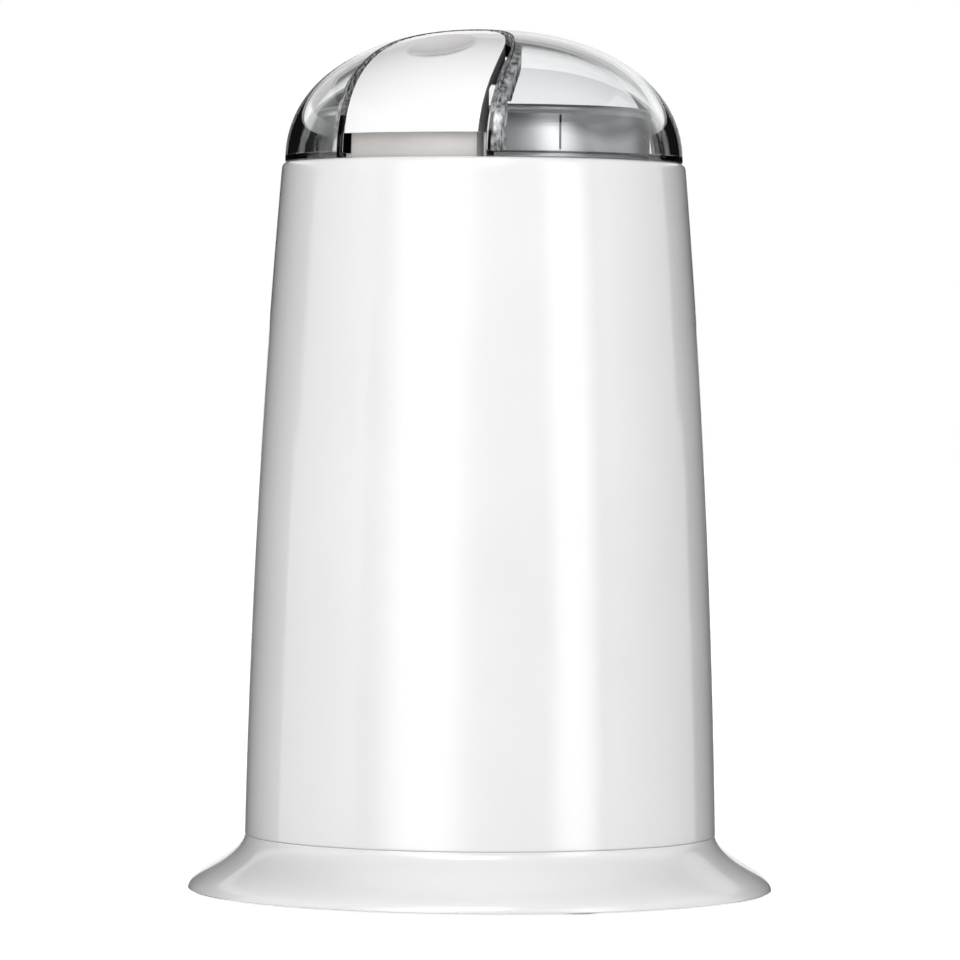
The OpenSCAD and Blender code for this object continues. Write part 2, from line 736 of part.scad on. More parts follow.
module thrust_washers() {
    upper_z = stack_top_z + bell_h;
    color(natural) {
        translate([0, 0, upper_z])
            ring(washer_r, shaft_r + press_gap, upper_bushing_z - thrust_gap - upper_z);
        translate([0, 0, commutator_z - lower_washer_h])
            ring(washer_r, shaft_r + press_gap, lower_washer_h);
    }
}

// Two-pole stator: a yoke with flats, wide pole shoes and a window on each side for the coils
window_in_r = stator_bore_r + 1.8;
window_out_r = stator_r - 5.5;
window_angle = 58;
shoe_angle = 28;
module stator_core() {
    flat = stator_r - 1.5;
    color([0.48, 0.49, 0.51]) translate([0, 0, stack_z]) linear_extrude(stack_h) difference() {
        intersection() {
            circle(r = stator_r);
            square([2 * flat, 2 * stator_r + 2 * over], center = true);
        }
        circle(r = stator_bore_r);
        for (turn = [0, 180]) rotate(turn) {
            sector_2d(window_in_r, window_out_r, -window_angle, window_angle);
            sector_2d(stator_bore_r - 1, window_in_r + 0.5, -shoe_angle, shoe_angle);
        }
        for (side = [-1, 1]) translate([0, side * bolt_place_r]) circle(r = m3_hole_r);
    }
}

// Two saddle coils round the poles: legs in the windows, arcs of end turns above and below
module field_coils() {
    coil_in_r = window_in_r + 0.4;
    coil_out_r = window_out_r - 0.4;
    leg_a0 = 6;
    leg_a1 = 50;
    turn_h = end_turn_h - end_turn_gap;
    color(copper) for (turn = [0, 180]) rotate(turn) {
        for (z = [stack_z - end_turn_h, stack_top_z + end_turn_gap]) translate([0, 0, z])
            linear_extrude(turn_h) difference() {
                sector_2d(coil_in_r, coil_out_r, leg_a0, 90);
                translate([-stator_r, 0]) square([stator_r, stator_r]);
            }
        for (z = [stack_z - end_turn_h, stack_top_z + end_turn_gap]) translate([0, 0, z])
            linear_extrude(turn_h) difference() {
                sector_2d(coil_in_r, coil_out_r, 90, 180 - leg_a0);
                square([stator_r, stator_r]);
            }
        translate([0, 0, stack_z - end_turn_h]) linear_extrude(stack_h + 2 * end_turn_h) {
            sector_2d(coil_in_r, coil_out_r, leg_a0, leg_a1);
            sector_2d(coil_in_r, coil_out_r, 180 - leg_a1, 180 - leg_a0);
        }
    }
}

// Pressed plate over the motor: bearing cup in the middle, two legs down to the stator
module upper_bracket() {
    cup_r = bushing_r + 1.8;
    cup_z = upper_bushing_z;
    color(steel) difference() {
        union() {
            translate([0, 0, bracket_z]) linear_extrude(bracket_t) difference() {
                circle(r = bracket_r);
                for (a = [0, 180]) rotate(a) sector_2d(cup_r + 2, bracket_r - 3.5, -24, 24);
            }
            translate([0, 0, cup_z]) cylinder(r = cup_r, h = bushing_h + 0.5);
            for (side = [-1, 1]) translate([0, side * bolt_place_r, stack_top_z])
                intersection() {
                    cylinder(r = leg_r, h = leg_h + bracket_t);
                    translate([0, -side * bolt_place_r, 0])
                        cylinder(r = bracket_r, h = leg_h + bracket_t);
                }
        }
        translate([0, 0, cup_z - over])
            cylinder(r = bushing_r + press_gap, h = bushing_h + 0.5 + 2 * over);
        for (side = [-1, 1]) translate([0, side * bolt_place_r, stack_top_z - over])
            cylinder(r = m3_hole_r, h = leg_h + bracket_t + 2 * over);
        for (a = mount_angles)
            translate(on_circle(mount_place_r, a) + [0, 0, bracket_z - over])
                cylinder(r = m3_hole_r, h = bracket_t + 2 * over);
    }
}

// Moulded plate under the motor: closed bearing cup, legs up to the stator, seats for the brushes
holder_w = 7.6;
holder_h = 6.6;
holder_in = commutator_r + 1.7;
holder_out = 24;
module lower_bracket() {
    cup_r = bushing_r + 2.6;
    cup_floor = 1.5;
    window_half_angle = 26;
    color(black) difference() {
        union() {
            translate([0, 0, lower_bracket_z]) linear_extrude(lower_bracket_t) difference() {
                circle(r = bracket_r);
                for (a = [45:90:315]) rotate(a) 
                    sector_2d(cup_r + 3, bracket_r - 3.5, -window_half_angle, window_half_angle);
            }
            translate([0, 0, lower_bushing_z - cup_floor])
                cylinder(r = cup_r, h = lower_bushing_h + cup_floor);
            for (side = [-1, 1]) {
                translate([0, side * bolt_place_r, lower_bracket_z]) intersection() {
                    cylinder(r = leg_r, h = stack_z - lower_bracket_z);
                    translate([0, -side * bolt_place_r, 0])
                        cylinder(r = bracket_r, h = stack_z - lower_bracket_z);
                }
                translate([side * (holder_in + holder_out) / 2 - 4, -holder_w / 2,
                           lower_bracket_top_z - 0.5])
                    cube([8, holder_w, brush_z - holder_h / 2 - lower_bracket_top_z + 0.5]);
            }
        }
        translate([0, 0, lower_bushing_z])
            cylinder(r = bushing_r + press_gap, h = lower_bushing_h + over);
        for (side = [-1, 1]) translate([0, side * bolt_place_r, lower_bracket_z - over])
            cylinder(r = m3_hole_r, h = stack_z - lower_bracket_z + 2 * over);
    }
}

module upper_bushing() {
    color(brass) translate([0, 0, upper_bushing_z]) ring(bushing_r, shaft_r + run_gap, bushing_h);
}

module lower_bushing() {
    color(brass) translate([0, 0, lower_bushing_z])
        ring(bushing_r, shaft_r + run_gap, lower_bushing_h);
}

// Square brass tubes, closed at the outer end
brush_w = 5.8;
brush_h = 4.8;
holder_cap = 0.8;
module brush_holders() {
    color(brass) for (side = [-1, 1]) translate([0, 0, brush_z - holder_h / 2]) difference() {
        translate([side > 0 ? holder_in : -holder_out, -holder_w / 2, 0])
            cube([holder_out - holder_in, holder_w, holder_h]);
        translate([side > 0 ? holder_in - over : -holder_out + holder_cap,
                   -brush_w / 2 - 0.1, (holder_h - brush_h) / 2 - 0.1])
            cube([holder_out - holder_in - holder_cap + over, brush_w + 0.2, brush_h + 0.2]);
    }
}

brush_back = 18;
module carbon_brushes() {
    color(black) for (side = [-1, 1]) translate([0, 0, brush_z - brush_h / 2]) difference() {
        translate([side > 0 ? commutator_r - 1 : -brush_back, -brush_w / 2, 0])
            cube([brush_back - commutator_r + 1, brush_w, brush_h]);
        translate([0, 0, -over]) cylinder(r = commutator_r + slide_gap, h = brush_h + 2 * over);
    }
}

brush_spring_r = 1.7;
brush_wire_r = 0.25;
module brush_springs() {
    color(steel) for (side = [-1, 1])
        translate([side * brush_back, 0, brush_z]) rotate([0, side * 90, 0])
            coil_spring(brush_spring_r, brush_wire_r, holder_out - holder_cap - brush_back, 5);
}

module motor_bolts() {
    length = bracket_top_z - lower_bracket_z + nut_h + 0.8;
    color(steel) for (side = [-1, 1]) translate([0, side * bolt_place_r, lower_bracket_z]) {
        cylinder(r = m3_r, h = length);
        translate([0, 0, -2]) cylinder(r1 = 2.4, r2 = 2.9, h = 2);
    }
}

module motor_nuts() {
    color(steel) for (side = [-1, 1])
        translate([0, side * bolt_place_r, bracket_top_z]) hex_nut(m3_r + press_gap);
}

module rubber_mounts() {
    color(rubber) for (a = mount_angles)
        translate(on_circle(mount_place_r, a) + [0, 0, bracket_top_z]) {
            ring(5, tap_r + 0.3, 1.4);
            translate([0, 0, 1.4]) ring(4.1, tap_r + 0.3, mount_h - 2.8);
            translate([0, 0, mount_h - 1.4]) ring(5, tap_r + 0.3, 1.4);
        }
}

module mount_screws() {
    color(steel) for (a = mount_angles)
        translate(on_circle(mount_place_r, a) + [0, 0, bracket_z])
            tapping_screw(tap_r, bracket_t + mount_h + mount_boss_h + 1, tap_head_r, 1.8);
}

// Button cap: a piece of the dome, hollow below, with a finger dish near its inner end
module button_cap() {
    slope = (dome_z(dish_place_r + 0.01) - dome_z(dish_place_r - 0.01)) / 0.02;
    ball_r = (dish_r * dish_r + dish_depth * dish_depth) / (2 * dish_depth);
    ball_h = (ball_r - dish_depth) / sqrt(1 + slope * slope);
    dish_z = dome_z(dish_place_r) - button_drop * sqrt(1 + slope * slope);
    bowl_room_z = bowl_rim_z + button_travel + 0.8;
    room_corner = 1;
    skirt_end = [for (p = dome_side(cap_skirt)) if (p[1] > bowl_room_z + 0.5) p];
    color(white) difference() {
        intersection() {
            dome_solid(button_drop);
            translate([0, 0, cap_z]) linear_extrude(lid_h) slot_plan(button_w, button_end);
        }
        intersection() {
            dome_solid(button_drop + button_wall);
            translate([0, 0, body_top_z - over]) linear_extrude(lid_h)
                slot_plan(button_w - 2 * button_wall, button_end + button_wall);
        }
        // room for the bowl's rim below the pressed cap
        rotate_extrude() polygon(concat(
            [[0, body_top_z], [neck_in_r, body_top_z], [neck_in_r, bowl_room_z - room_corner],
             [neck_in_r - 1.2 * room_corner, bowl_room_z], [skirt_end[0][0], bowl_room_z]],
            skirt_end));
        translate([0, -dish_place_r + slope * ball_h, dish_z + ball_h]) sphere(r = ball_r);
    }
}

// Slider: a curved neck that plugs into the cap and runs down through the ledge
module button_slider() {
    tongue_h = 4;
    stop_w = neck_w + 2.4;
    tongue_gap = 0.1;
    tongue_w = button_w - 2 * (button_wall + tongue_gap);
    color(warm_grey) {
        intersection() {
            translate([0, 0, neck_z]) ring(neck_out_r, neck_in_r, cap_z - neck_z);
            union() {
                translate([-neck_w / 2, -lid_r, neck_z]) cube([neck_w, lid_r, cap_z - neck_z]);
                // stop lips that meet the ledge from below
                translate([-stop_w / 2, -lid_r, neck_z])
                    cube([stop_w, lid_r, ledge_z - ledge_t - neck_z]);
            }
        }
        intersection() {
            dome_solid(button_drop + button_wall + tongue_gap);
            translate([0, 0, cap_z - 0.5]) ring(neck_out_r, neck_in_r + 0.2, tongue_h + 0.5);
            translate([0, 0, cap_z - 0.5]) linear_extrude(tongue_h + 0.5)
                slot_plan(tongue_w, button_end + button_wall + tongue_gap);
        }
    }
}

module actuator_rod() {
    color(steel) translate([0, -rod_place_r, 0]) {
        translate([0, 0, rod_z]) cylinder(r = rod_r, h = neck_z - rod_z);
        translate([0, 0, neck_z - rod_head_h]) cylinder(r = rod_head_r, h = rod_head_h);
    }
}

module return_spring() {
    color(steel) translate([0, -rod_place_r, spring_z])
        coil_spring(spring_mean_r, spring_wire_r, spring_top_z - spring_z, 9);
}

// Lever microswitch: body with two ears and a pivot pin
module switch_body() {
    ear_t = 0.8;
    ear_gap = 0.3;
    color(black) translate([0, -switch_mid_r, 0]) difference() {
        union() {
            translate([switch_x, -switch_t / 2, switch_z]) cube([switch_l, switch_t, switch_h]);
            for (side = [-1, 1])
                translate([pivot_x, side * (lever_w / 2 + ear_gap + ear_t / 2), 0])
                    rotate([90, 0, 0]) translate([0, 0, -ear_t / 2]) {
                        translate([0, pivot_z, 0]) cylinder(r = 1.3, h = ear_t);
                        translate([-1.3, switch_top_z - 0.5, 0])
                            cube([2.6, pivot_z - switch_top_z + 0.5, ear_t]);
                    }
            translate([pivot_x, lever_w / 2 + ear_gap + ear_t / 2, pivot_z]) rotate([90, 0, 0])
                cylinder(r = pivot_r, h = lever_w + 2 * ear_gap + ear_t);
        }
        translate([plunger_x, 0, plunger_z - plunger_travel - 0.4])
            cylinder(r = plunger_r + slide_gap, h = 10);
        for (x = switch_pins_x)
            translate([x, switch_t, switch_pin_z]) rotate([90, 0, 0])
                cylinder(r = switch_pin_r + press_gap, h = 2 * switch_t);
    }
}

module switch_terminals() {
    color(brass) for (x = [2.2, 9.6, 17])
        translate([switch_x + x - 1.6, -switch_mid_r - 0.25, switch_z - 5]) difference() {
            cube([3.2, 0.5, 5]);
            translate([1.6, -over, 1.8]) rotate([-90, 0, 0]) cylinder(r = 0.7, h = 0.5 + 2 * over);
        }
}

module switch_plunger() {
    color([0.75, 0.25, 0.15]) translate([plunger_x, -switch_mid_r, plunger_z])
        cylinder(r = plunger_r, h = plunger_top_z - plunger_z);
}

module switch_lever() {
    color(steel) translate([pivot_x, -switch_mid_r, pivot_z]) difference() {
        union() {
            rotate([90, 0, 0]) translate([0, 0, -lever_w / 2]) cylinder(r = eye_r, h = lever_w);
            rotate([0, -lever_angle, 0]) translate([eye_r / 2, -lever_w / 2, -lever_t / 2])
                cube([-pivot_x + lever_reach - eye_r / 2, lever_w, lever_t]);
        }
        rotate([90, 0, 0]) translate([0, 0, -lever_w]) cylinder(r = pivot_r + 0.08, h = 2 * lever_w);
    }
}

// Dome lid: shell, mouth flange and centring ring, with a slot for the button that a wall lines
module lid() {
    spigot_r = ledge_r - slide_gap - 0.05;
    spigot_z = ledge_z + slide_gap;
    flange_z = body_top_z + lid_flange_t;
    spigot_in_r = spigot_r - lid_spigot_t;
    inner = [for (p = dome_side(lid_wall)) if (p[1] > flange_z) p];
    color([0.85, 0.90, 0.92, 0.4]) difference() {
        union() {
            rotate_extrude() polygon(concat(
                [[spigot_in_r, spigot_z], [spigot_r, spigot_z], [spigot_r, body_top_z]],
                dome_side(0),
                [for (i = [len(inner) - 1:-1:0]) inner[i]],
                [[inner[0][0], flange_z], [spigot_in_r, flange_z]]));
            difference() {
                intersection() {
                    dome_solid(lid_wall / 2);
                    translate([0, 0, flange_z - lid_flange_t / 2]) linear_extrude(lid_h)
                        slot_plan(slot_w + 2 * slot_wall_t, slot_end - slot_wall_t);
                }
                dome_solid(slot_wall_depth);
                translate([0, 0, body_top_z])
                    cylinder(r = bowl_r + bead_w + 0.4, h = bowl_rise + 0.5);
            }
        }
        translate([0, 0, spigot_z - over]) linear_extrude(lid_h + ledge_drop + 2 * over)
            slot_plan(slot_w, slot_end);
    }
}

housing();
base_foot();
rubber_feet();
foot_screws();
cord_gland();
motor_carrier();
carrier_screws();
bowl();
bowl_gasket();
bowl_nuts();
shaft_seal();
blade();
blade_washer();
blade_nut();
motor_shaft();
rotor_core();
armature_winding();
commutator();
thrust_washers();
stator_core();
field_coils();
upper_bracket();
lower_bracket();
upper_bushing();
lower_bushing();
brush_holders();
carbon_brushes();
brush_springs();
motor_bolts();
motor_nuts();
rubber_mounts();
mount_screws();
button_cap();
button_slider();
actuator_rod();
return_spring();
switch_body();
switch_terminals();
switch_plunger();
switch_lever();
lid();
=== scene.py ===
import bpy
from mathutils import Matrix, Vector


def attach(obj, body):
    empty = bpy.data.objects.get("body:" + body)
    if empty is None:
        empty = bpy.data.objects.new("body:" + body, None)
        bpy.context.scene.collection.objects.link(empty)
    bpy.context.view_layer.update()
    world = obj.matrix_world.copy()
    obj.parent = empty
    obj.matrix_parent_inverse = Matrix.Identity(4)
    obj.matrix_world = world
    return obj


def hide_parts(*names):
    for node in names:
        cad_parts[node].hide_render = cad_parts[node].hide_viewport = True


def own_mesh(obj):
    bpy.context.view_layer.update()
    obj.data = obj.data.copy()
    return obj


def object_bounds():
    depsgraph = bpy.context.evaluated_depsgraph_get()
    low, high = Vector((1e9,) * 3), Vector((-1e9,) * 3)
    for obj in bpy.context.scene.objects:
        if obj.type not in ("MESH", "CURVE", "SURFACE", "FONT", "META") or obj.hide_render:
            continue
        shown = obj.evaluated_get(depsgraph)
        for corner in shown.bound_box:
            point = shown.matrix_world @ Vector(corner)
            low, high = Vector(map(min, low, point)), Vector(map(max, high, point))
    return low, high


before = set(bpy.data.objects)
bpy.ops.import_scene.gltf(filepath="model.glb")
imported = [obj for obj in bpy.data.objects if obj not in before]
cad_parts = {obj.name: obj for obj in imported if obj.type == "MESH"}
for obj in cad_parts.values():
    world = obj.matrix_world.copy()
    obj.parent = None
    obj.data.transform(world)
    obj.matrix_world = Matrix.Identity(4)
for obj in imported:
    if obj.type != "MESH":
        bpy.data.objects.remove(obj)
cad_box = [list(corner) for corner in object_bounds()]

import math

import bmesh
import bpy
import numpy as np
from mathutils import Matrix, Vector
from mathutils.geometry import delaunay_2d_cdt

# Dressed spice grinder: smooth shells stand for the faceted solids of the outside, the motor keeps
# its CAD solids, and every surface gets a procedural finish. Lengths are in millimetres up to the
# point where a mesh is made, and metres from there on.
MM = 0.001
scene = bpy.context.scene
scene.view_settings.view_transform = "Standard"

# ---------------------------------------------------------------- sizes shared with the CAD solids
# Whole object, from the frame
FOOT_R = round(cad_box[1][0] / MM, 2)
TOP_Z = round(cad_box[1][2] / MM, 2)

# Clearances and screws
SLIDE_GAP = 0.3
SEAT_GAP = 0.2
M3_R = 1.5
M3_HOLE_R = 1.7
SCREW_ANGLES = (30, 150, 270)

# Foot
FOOT_H = 11.8
FOOT_LIFT = 0.6
FOOT_WALL = 2.2
WELL_DEPTH = 1.0
SPIGOT_H = 4.2
PAD_R = 5.0
PAD_H = 2.4
PAD_PLACE_R = FOOT_R - 10
PAD_ANGLES = (45, 135, 225, 315)
VENT_COUNT = 10
VENT_W = 3.0
VENT_IN_R = 14.0
VENT_OUT_R = 30.0

# Housing
BODY_H = 137.6
BODY_BOTTOM_R = 48.4
BODY_TOP_R = 41.35
BODY_BULGE = 1.1
BODY_WALL = 2.4
SHOULDER_R = 1.0
SEAM_Z = FOOT_H + BODY_H
LEDGE_R = BODY_TOP_R - 2.6
LEDGE_Z = SEAM_Z - 3.2
LEDGE_UNDER_Z = LEDGE_Z - 2.4
GLAND_Z = FOOT_H + (BODY_H - SHOULDER_R) / 8
GLAND_HOLE_R = 4.92
FOOT_SCREW_PLACE_R = BODY_BOTTOM_R - 9.4

# Bowl
BOWL_R = 34.0
BOWL_T = 0.8
BOWL_CORNER_R = 7.0
BOWL_HUB_R = 5.2
BEAD_W = 0.5
BOWL_RIM_Z = SEAM_Z + 10.4
BOWL_Z = BOWL_RIM_Z - 43.8
STUD_PLACE_R = 14.0
STUD_END_Z = BOWL_Z - 13.5

# Lid. The dome and the slot's inner end are superellipses. Widths named W are half widths from here
# on, and the slot's cut is satin above SATIN_Z, with painted mottled refractions.
LID_R = 40.8
LID_H = round(TOP_Z - SEAM_Z, 2)
DOME_POWER = 2.2
LID_WALL = 2.5
FLANGE_Z = SEAM_Z + 1.1
SPIGOT_R = LEDGE_R - SLIDE_GAP - 0.05
SPIGOT_IN_R = SPIGOT_R - 1.8
SPIGOT_Z = LEDGE_Z + SLIDE_GAP
SLOT_W = 16.1
SLOT_END = 7.0
SLOT_FULL_R = 37.4
SLOT_POWER = 2.5
SLOT_WALL_T = 1.6
SLOT_WALL_DEPTH = 5.0
SLOT_ROOM_R = BOWL_R + BEAD_W + 0.4
SLOT_ROOM_Z = BOWL_RIM_Z + 0.5
SATIN_Z = 158.0

# Button
BUTTON_GAP = 1.5
BUTTON_TRAVEL = 3.5
CAP_W = SLOT_W - BUTTON_GAP
CAP_END = SLOT_END + BUTTON_GAP
CAP_Z = SEAM_Z + 4.9
CAP_WALL = 2.4
CAP_DROP = 0.2
CAP_SKIRT = 6.0
CAP_ROOM_R = SLOT_ROOM_R
CAP_ROOM_Z = BOWL_RIM_Z + BUTTON_TRAVEL + 0.6
CAP_ROOM_CORNER = 1.0
DISH_PLACE_R = 22.6
DISH_R = 8.4
DISH_DEPTH = 1.5
NECK_W = CAP_W - 1.0
STOP_W = NECK_W + 1.2
NECK_IN_R = BOWL_R + BEAD_W + 0.6
NECK_OUT_R = LEDGE_R - SLIDE_GAP - 0.15
NECK_Z = LEDGE_UNDER_Z - 6

# Return spring, between the housing's shelf and the head of the actuator rod
ROD_R = 1.5
WIRE_R = 0.3
COIL_R = ROD_R + 0.3 + WIRE_R
COIL_TURNS = 9
COIL_PLACE_R = (NECK_IN_R + NECK_OUT_R) / 2
COIL_Z = BOWL_Z + 4.5
COIL_H = NECK_Z - 1.2 - COIL_Z


# ---------------------------------------------------------------- mesh tools
def solid_mesh(name, verts, faces, weld=True):
    """A mesh from points in millimetres, with its normals outwards."""
    mesh = bpy.data.meshes.new(name)
    mesh.from_pydata([(x * MM, y * MM, z * MM) for x, y, z in verts], [], faces)
    bm = bmesh.new()
    bm.from_mesh(mesh)
    if weld:
        bmesh.ops.remove_doubles(bm, verts=bm.verts, dist=2e-6)
        bmesh.ops.dissolve_degenerate(bm, edges=bm.edges, dist=1e-7)
    bmesh.ops.recalc_face_normals(bm, faces=bm.faces)
    bm.to_mesh(mesh)
    bm.free()
    return mesh


def placed(name, data):
    """A new object in the scene."""
    obj = bpy.data.objects.new(name, data)
    scene.collection.objects.link(obj)
    return obj


def shade(mesh, sharp=30):
    """Smooth shading, with sharp edges from an angle on."""
    mesh.shade_smooth()
    mesh.set_sharp_from_angle(angle=math.radians(sharp))


def piece(name, verts, faces, body, material, replaces=()):
    """A visible object that rides on its body and stands for some CAD nodes."""
    mesh = solid_mesh(name, verts, faces)
    shade(mesh)
    obj = placed(name, mesh)
    mesh.materials.append(material)
    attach(obj, body)
    if replaces:
        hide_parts(*replaces)
    return obj


def bake(obj, sharp=30):
    """Applies the modifiers of an object to its mesh."""
    bpy.context.view_layer.update()
    shaped = obj.evaluated_get(bpy.context.evaluated_depsgraph_get())
    old = obj.data
    obj.data = bpy.data.meshes.new_from_object(shaped)
    obj.data.name = old.name
    obj.modifiers.clear()
    bpy.data.meshes.remove(old)
    shade(obj.data, sharp)


def round_edges(obj, width, segments):
    """Rounds the edges that are sharper than 40 degrees."""
    mod = obj.modifiers.new("edges", "BEVEL")
    mod.width = width * MM
    mod.segments = segments
    mod.limit_method = "ANGLE"
    mod.angle_limit = math.radians(40)
    mod.use_clamp_overlap = True
    mod.miter_outer = "MITER_ARC"
    bake(obj, 35)


def cut(obj, verts, faces, operation="DIFFERENCE"):
    """A boolean with a tool built from points in millimetres. The tool isn't kept."""
    tool = placed("tool", solid_mesh("tool", verts, faces, weld=False))
    mod = obj.modifiers.new("cut", "BOOLEAN")
    mod.operation = operation
    mod.object = tool
    mod.solver = "EXACT"
    mod.use_self = False
    bake(obj)
    mesh = tool.data
    bpy.data.objects.remove(tool)
    bpy.data.meshes.remove(mesh)


def paint(obj, material, chosen):
    """A second material on the faces whose centre, in millimetres, and normal are chosen."""
    obj.data.materials.append(material)
    for face in obj.data.polygons:
        if chosen(face.center / MM, face.normal):
            face.material_index = 1


def joined(*parts):
    """Several (verts, faces) pairs as one."""
    verts, faces = [], []
    for v, f in parts:
        faces += [tuple(i + len(verts) for i in face) for face in f]
        verts += list(v)
    return verts, faces


def lathe(profile, segments=192, closed=True):
    """Points (r, z) turned round the axis. A closed profile makes a ring or a solid."""
    verts, index = [], []
    for r, z in profile:
        if r < 1e-6:
            index.append([len(verts)] * segments)
            verts.append((0, 0, z))
        else:
            index.append(list(range(len(verts), len(verts) + segments)))
            verts += [(r * math.cos(a), r * math.sin(a), z)
                      for a in np.linspace(0, 2 * math.pi, segments, endpoint=False)]
    faces = []
    count = len(profile)
    for i in range(count if closed else count - 1):
        a, b = index[i], index[(i + 1) % count]
        for j in range(segments):
            k = (j + 1) % segments
            face = list(dict.fromkeys((a[j], a[k], b[k], b[j])))
            if len(face) > 2:
                faces.append(tuple(face))
    return verts, faces


def rod(radius, z0, z1, place=(0, 0), segments=48):
    """Upright cylinder."""
    verts, faces = lathe([(0, z0), (radius, z0), (radius, z1), (0, z1)], segments, closed=False)
    return [(x + place[0], y + place[1], z) for x, y, z in verts], faces


def prism(plan, z0, z1):
    """Upright prism over a plan of (x, y) points."""
    n = len(plan)
    sides = [(i, (i + 1) % n, n + (i + 1) % n, n + i) for i in range(n)]
    ends = [tuple(range(n - 1, -1, -1)), tuple(range(n, 2 * n))]
    return [(x, y, z) for z in (z0, z1) for x, y in plan], sides + ends


def block(x0, x1, y0, y1, z0, z1, turn):
    """Upright box, turned round the axis."""
    a = math.radians(turn)
    plan = [(x * math.cos(a) - y * math.sin(a), x * math.sin(a) + y * math.cos(a))
            for x, y in ((x0, y0), (x1, y0), (x1, y1), (x0, y1))]
    return prism(plan, z0, z1)


def strip(a, b):
    """Quads between two rows of points with the same count."""
    n = len(a)
    return list(a) + list(b), [(i, i + 1, n + i + 1, n + i) for i in range(n - 1)]


def on_circle(radius, degrees, centre=(0, 0)):
    a = math.radians(degrees)
    return centre[0] + radius * math.cos(a), centre[1] + radius * math.sin(a)


def arc(centre, radius, a0, a1, steps):
    return [on_circle(radius, a, centre) for a in np.linspace(a0, a1, steps + 1)]


# ---------------------------------------------------------------- dome and slot
class Dome:
    """The lid's dome, set in by a wall. Its plan is unrolled by arc length s for meshing."""

    def __init__(self, inset=0.0):
        rise = np.linspace(math.pi / 2, 0, 1500)
        self.r = (LID_R - inset) * np.maximum(np.cos(rise), 0) ** (2 / DOME_POWER)
        self.r[0] = 0
        self.z = SEAM_Z + (LID_H - inset) * np.sin(rise) ** (2 / DOME_POWER)
        self.s = np.append(0, np.cumsum(np.hypot(np.diff(self.r), np.diff(self.z))))

    def z_at(self, r):
        return float(np.interp(r, self.r, self.z))

    def s_at(self, r):
        return float(np.interp(r, self.r, self.s))

    def s_of_z(self, z):
        return float(np.interp(-z, -self.z, self.s))

    def r_of_s(self, s):
        return float(np.interp(s, self.s, self.r))

    def lift(self, u, v):
        """The point of the dome over an unrolled point."""
        s = math.hypot(u, v)
        if s < 1e-9:
            return 0.0, 0.0, float(self.z[0])
        r = self.r_of_s(s)
        return r * u / s, r * v / s, float(np.interp(s, self.s, self.z))


def half_plan(w, end, steps=1500):
    """Right half of the slot's plan, from the front to its inner end."""
    a = np.linspace(0, math.pi / 2, steps)
    x = w * np.maximum(np.cos(a), 0) ** (2 / SLOT_POWER)
    y = (SLOT_FULL_R - end) * np.sin(a) ** (2 / SLOT_POWER) - SLOT_FULL_R
    return np.append(w, x), np.append(-LID_R - 2, y)


def width_at(r, w, end):
    """Half the slot's width where its edge lies at a distance from the axis."""
    x, y = half_plan(w, end)
    return float(np.interp(-r, -np.hypot(x, y), x))


def slot_edge(dome, w, end, s_front, count, stop=None):
    """The slot's edge on a dome from the front right to the front left, evenly spaced, as unrolled
    (u, v) points. A stop is a distance from the axis that gets a point."""
    x, y = half_plan(w, end)
    r = np.hypot(x, y)

    def at(s):
        rs = np.interp(s, dome.s, dome.r)
        xs = np.interp(-rs, -r, x)
        return rs, xs, -np.sqrt(np.maximum(rs ** 2 - xs ** 2, 0)), np.interp(s, dome.s, dome.z)

    s_inner = dome.s_at(end)
    s = s_inner + (s_front - s_inner) * np.linspace(1, 0, 3000) ** 2
    _, xs, ys, zs = at(s)
    run = np.append(0, np.cumsum(np.sqrt(np.diff(xs) ** 2 + np.diff(ys) ** 2 + np.diff(zs) ** 2)))
    even = np.interp(np.linspace(0, run[-1], count + 1), run, s)
    if stop:
        even[np.argmin(abs(even - dome.s_at(stop)))] = dome.s_at(stop)
    rs, xs, ys, _ = at(even)
    xs[-1] = 0
    half = [(e * px / pr, e * py / pr) for e, pr, px, py in zip(even, rs, xs, ys)]
    half[-1] = (0.0, -s_inner)
    return half + [(-u, v) for u, v in reversed(half[:-1])]


def slot_distance(w, end):
    """A function for the signed distance to the slot's plan, negative inside."""
    x, y = half_plan(w, end, 160)
    x, y = np.append(x, -x[::-1]), np.append(y, y[::-1])
    ax, ay, dx, dy = x[:-1], y[:-1], np.diff(x), np.diff(y)
    length2 = np.maximum(dx ** 2 + dy ** 2, 1e-12)

    def distance(px, py):
        t = np.clip(((px - ax) * dx + (py - ay) * dy) / length2, 0, 1)
        near = float(np.sqrt(((ax + t * dx - px) ** 2 + (ay + t * dy - py) ** 2).min()))
        t = min(max((py + SLOT_FULL_R) / (SLOT_FULL_R - end), 0), 1)
        inside = py < -end and abs(px) < w * (1 - t ** SLOT_POWER) ** (1 / SLOT_POWER)
        return -near if inside else near
    return distance


def patch(dome, loop, inside, step, s_end):
    """Triangles on a dome inside a closed loop of (u, v) points, filled with rings of points."""
    points = list(loop)
    for k in range(0, int(s_end / step) + 2):
        s = k * step
        if s > s_end - 0.45 * step:
            break
        r = dome.r_of_s(s)
        count = max(1, int(round(2 * math.pi * r / step)))
        for j in range(count):
            a = 2 * math.pi * (j + 0.5 * (k % 2)) / count
            if inside(r * math.cos(a), r * math.sin(a)):
                points.append((s * math.cos(a), s * math.sin(a)))
    # output type 1 keeps the triangles inside the loop
    found = delaunay_2d_cdt([Vector(p) for p in points], [], [list(range(len(loop)))], 1, 1e-6)
    return [dome.lift(p.x, p.y) for p in found[0]], [tuple(f) for f in found[2]]


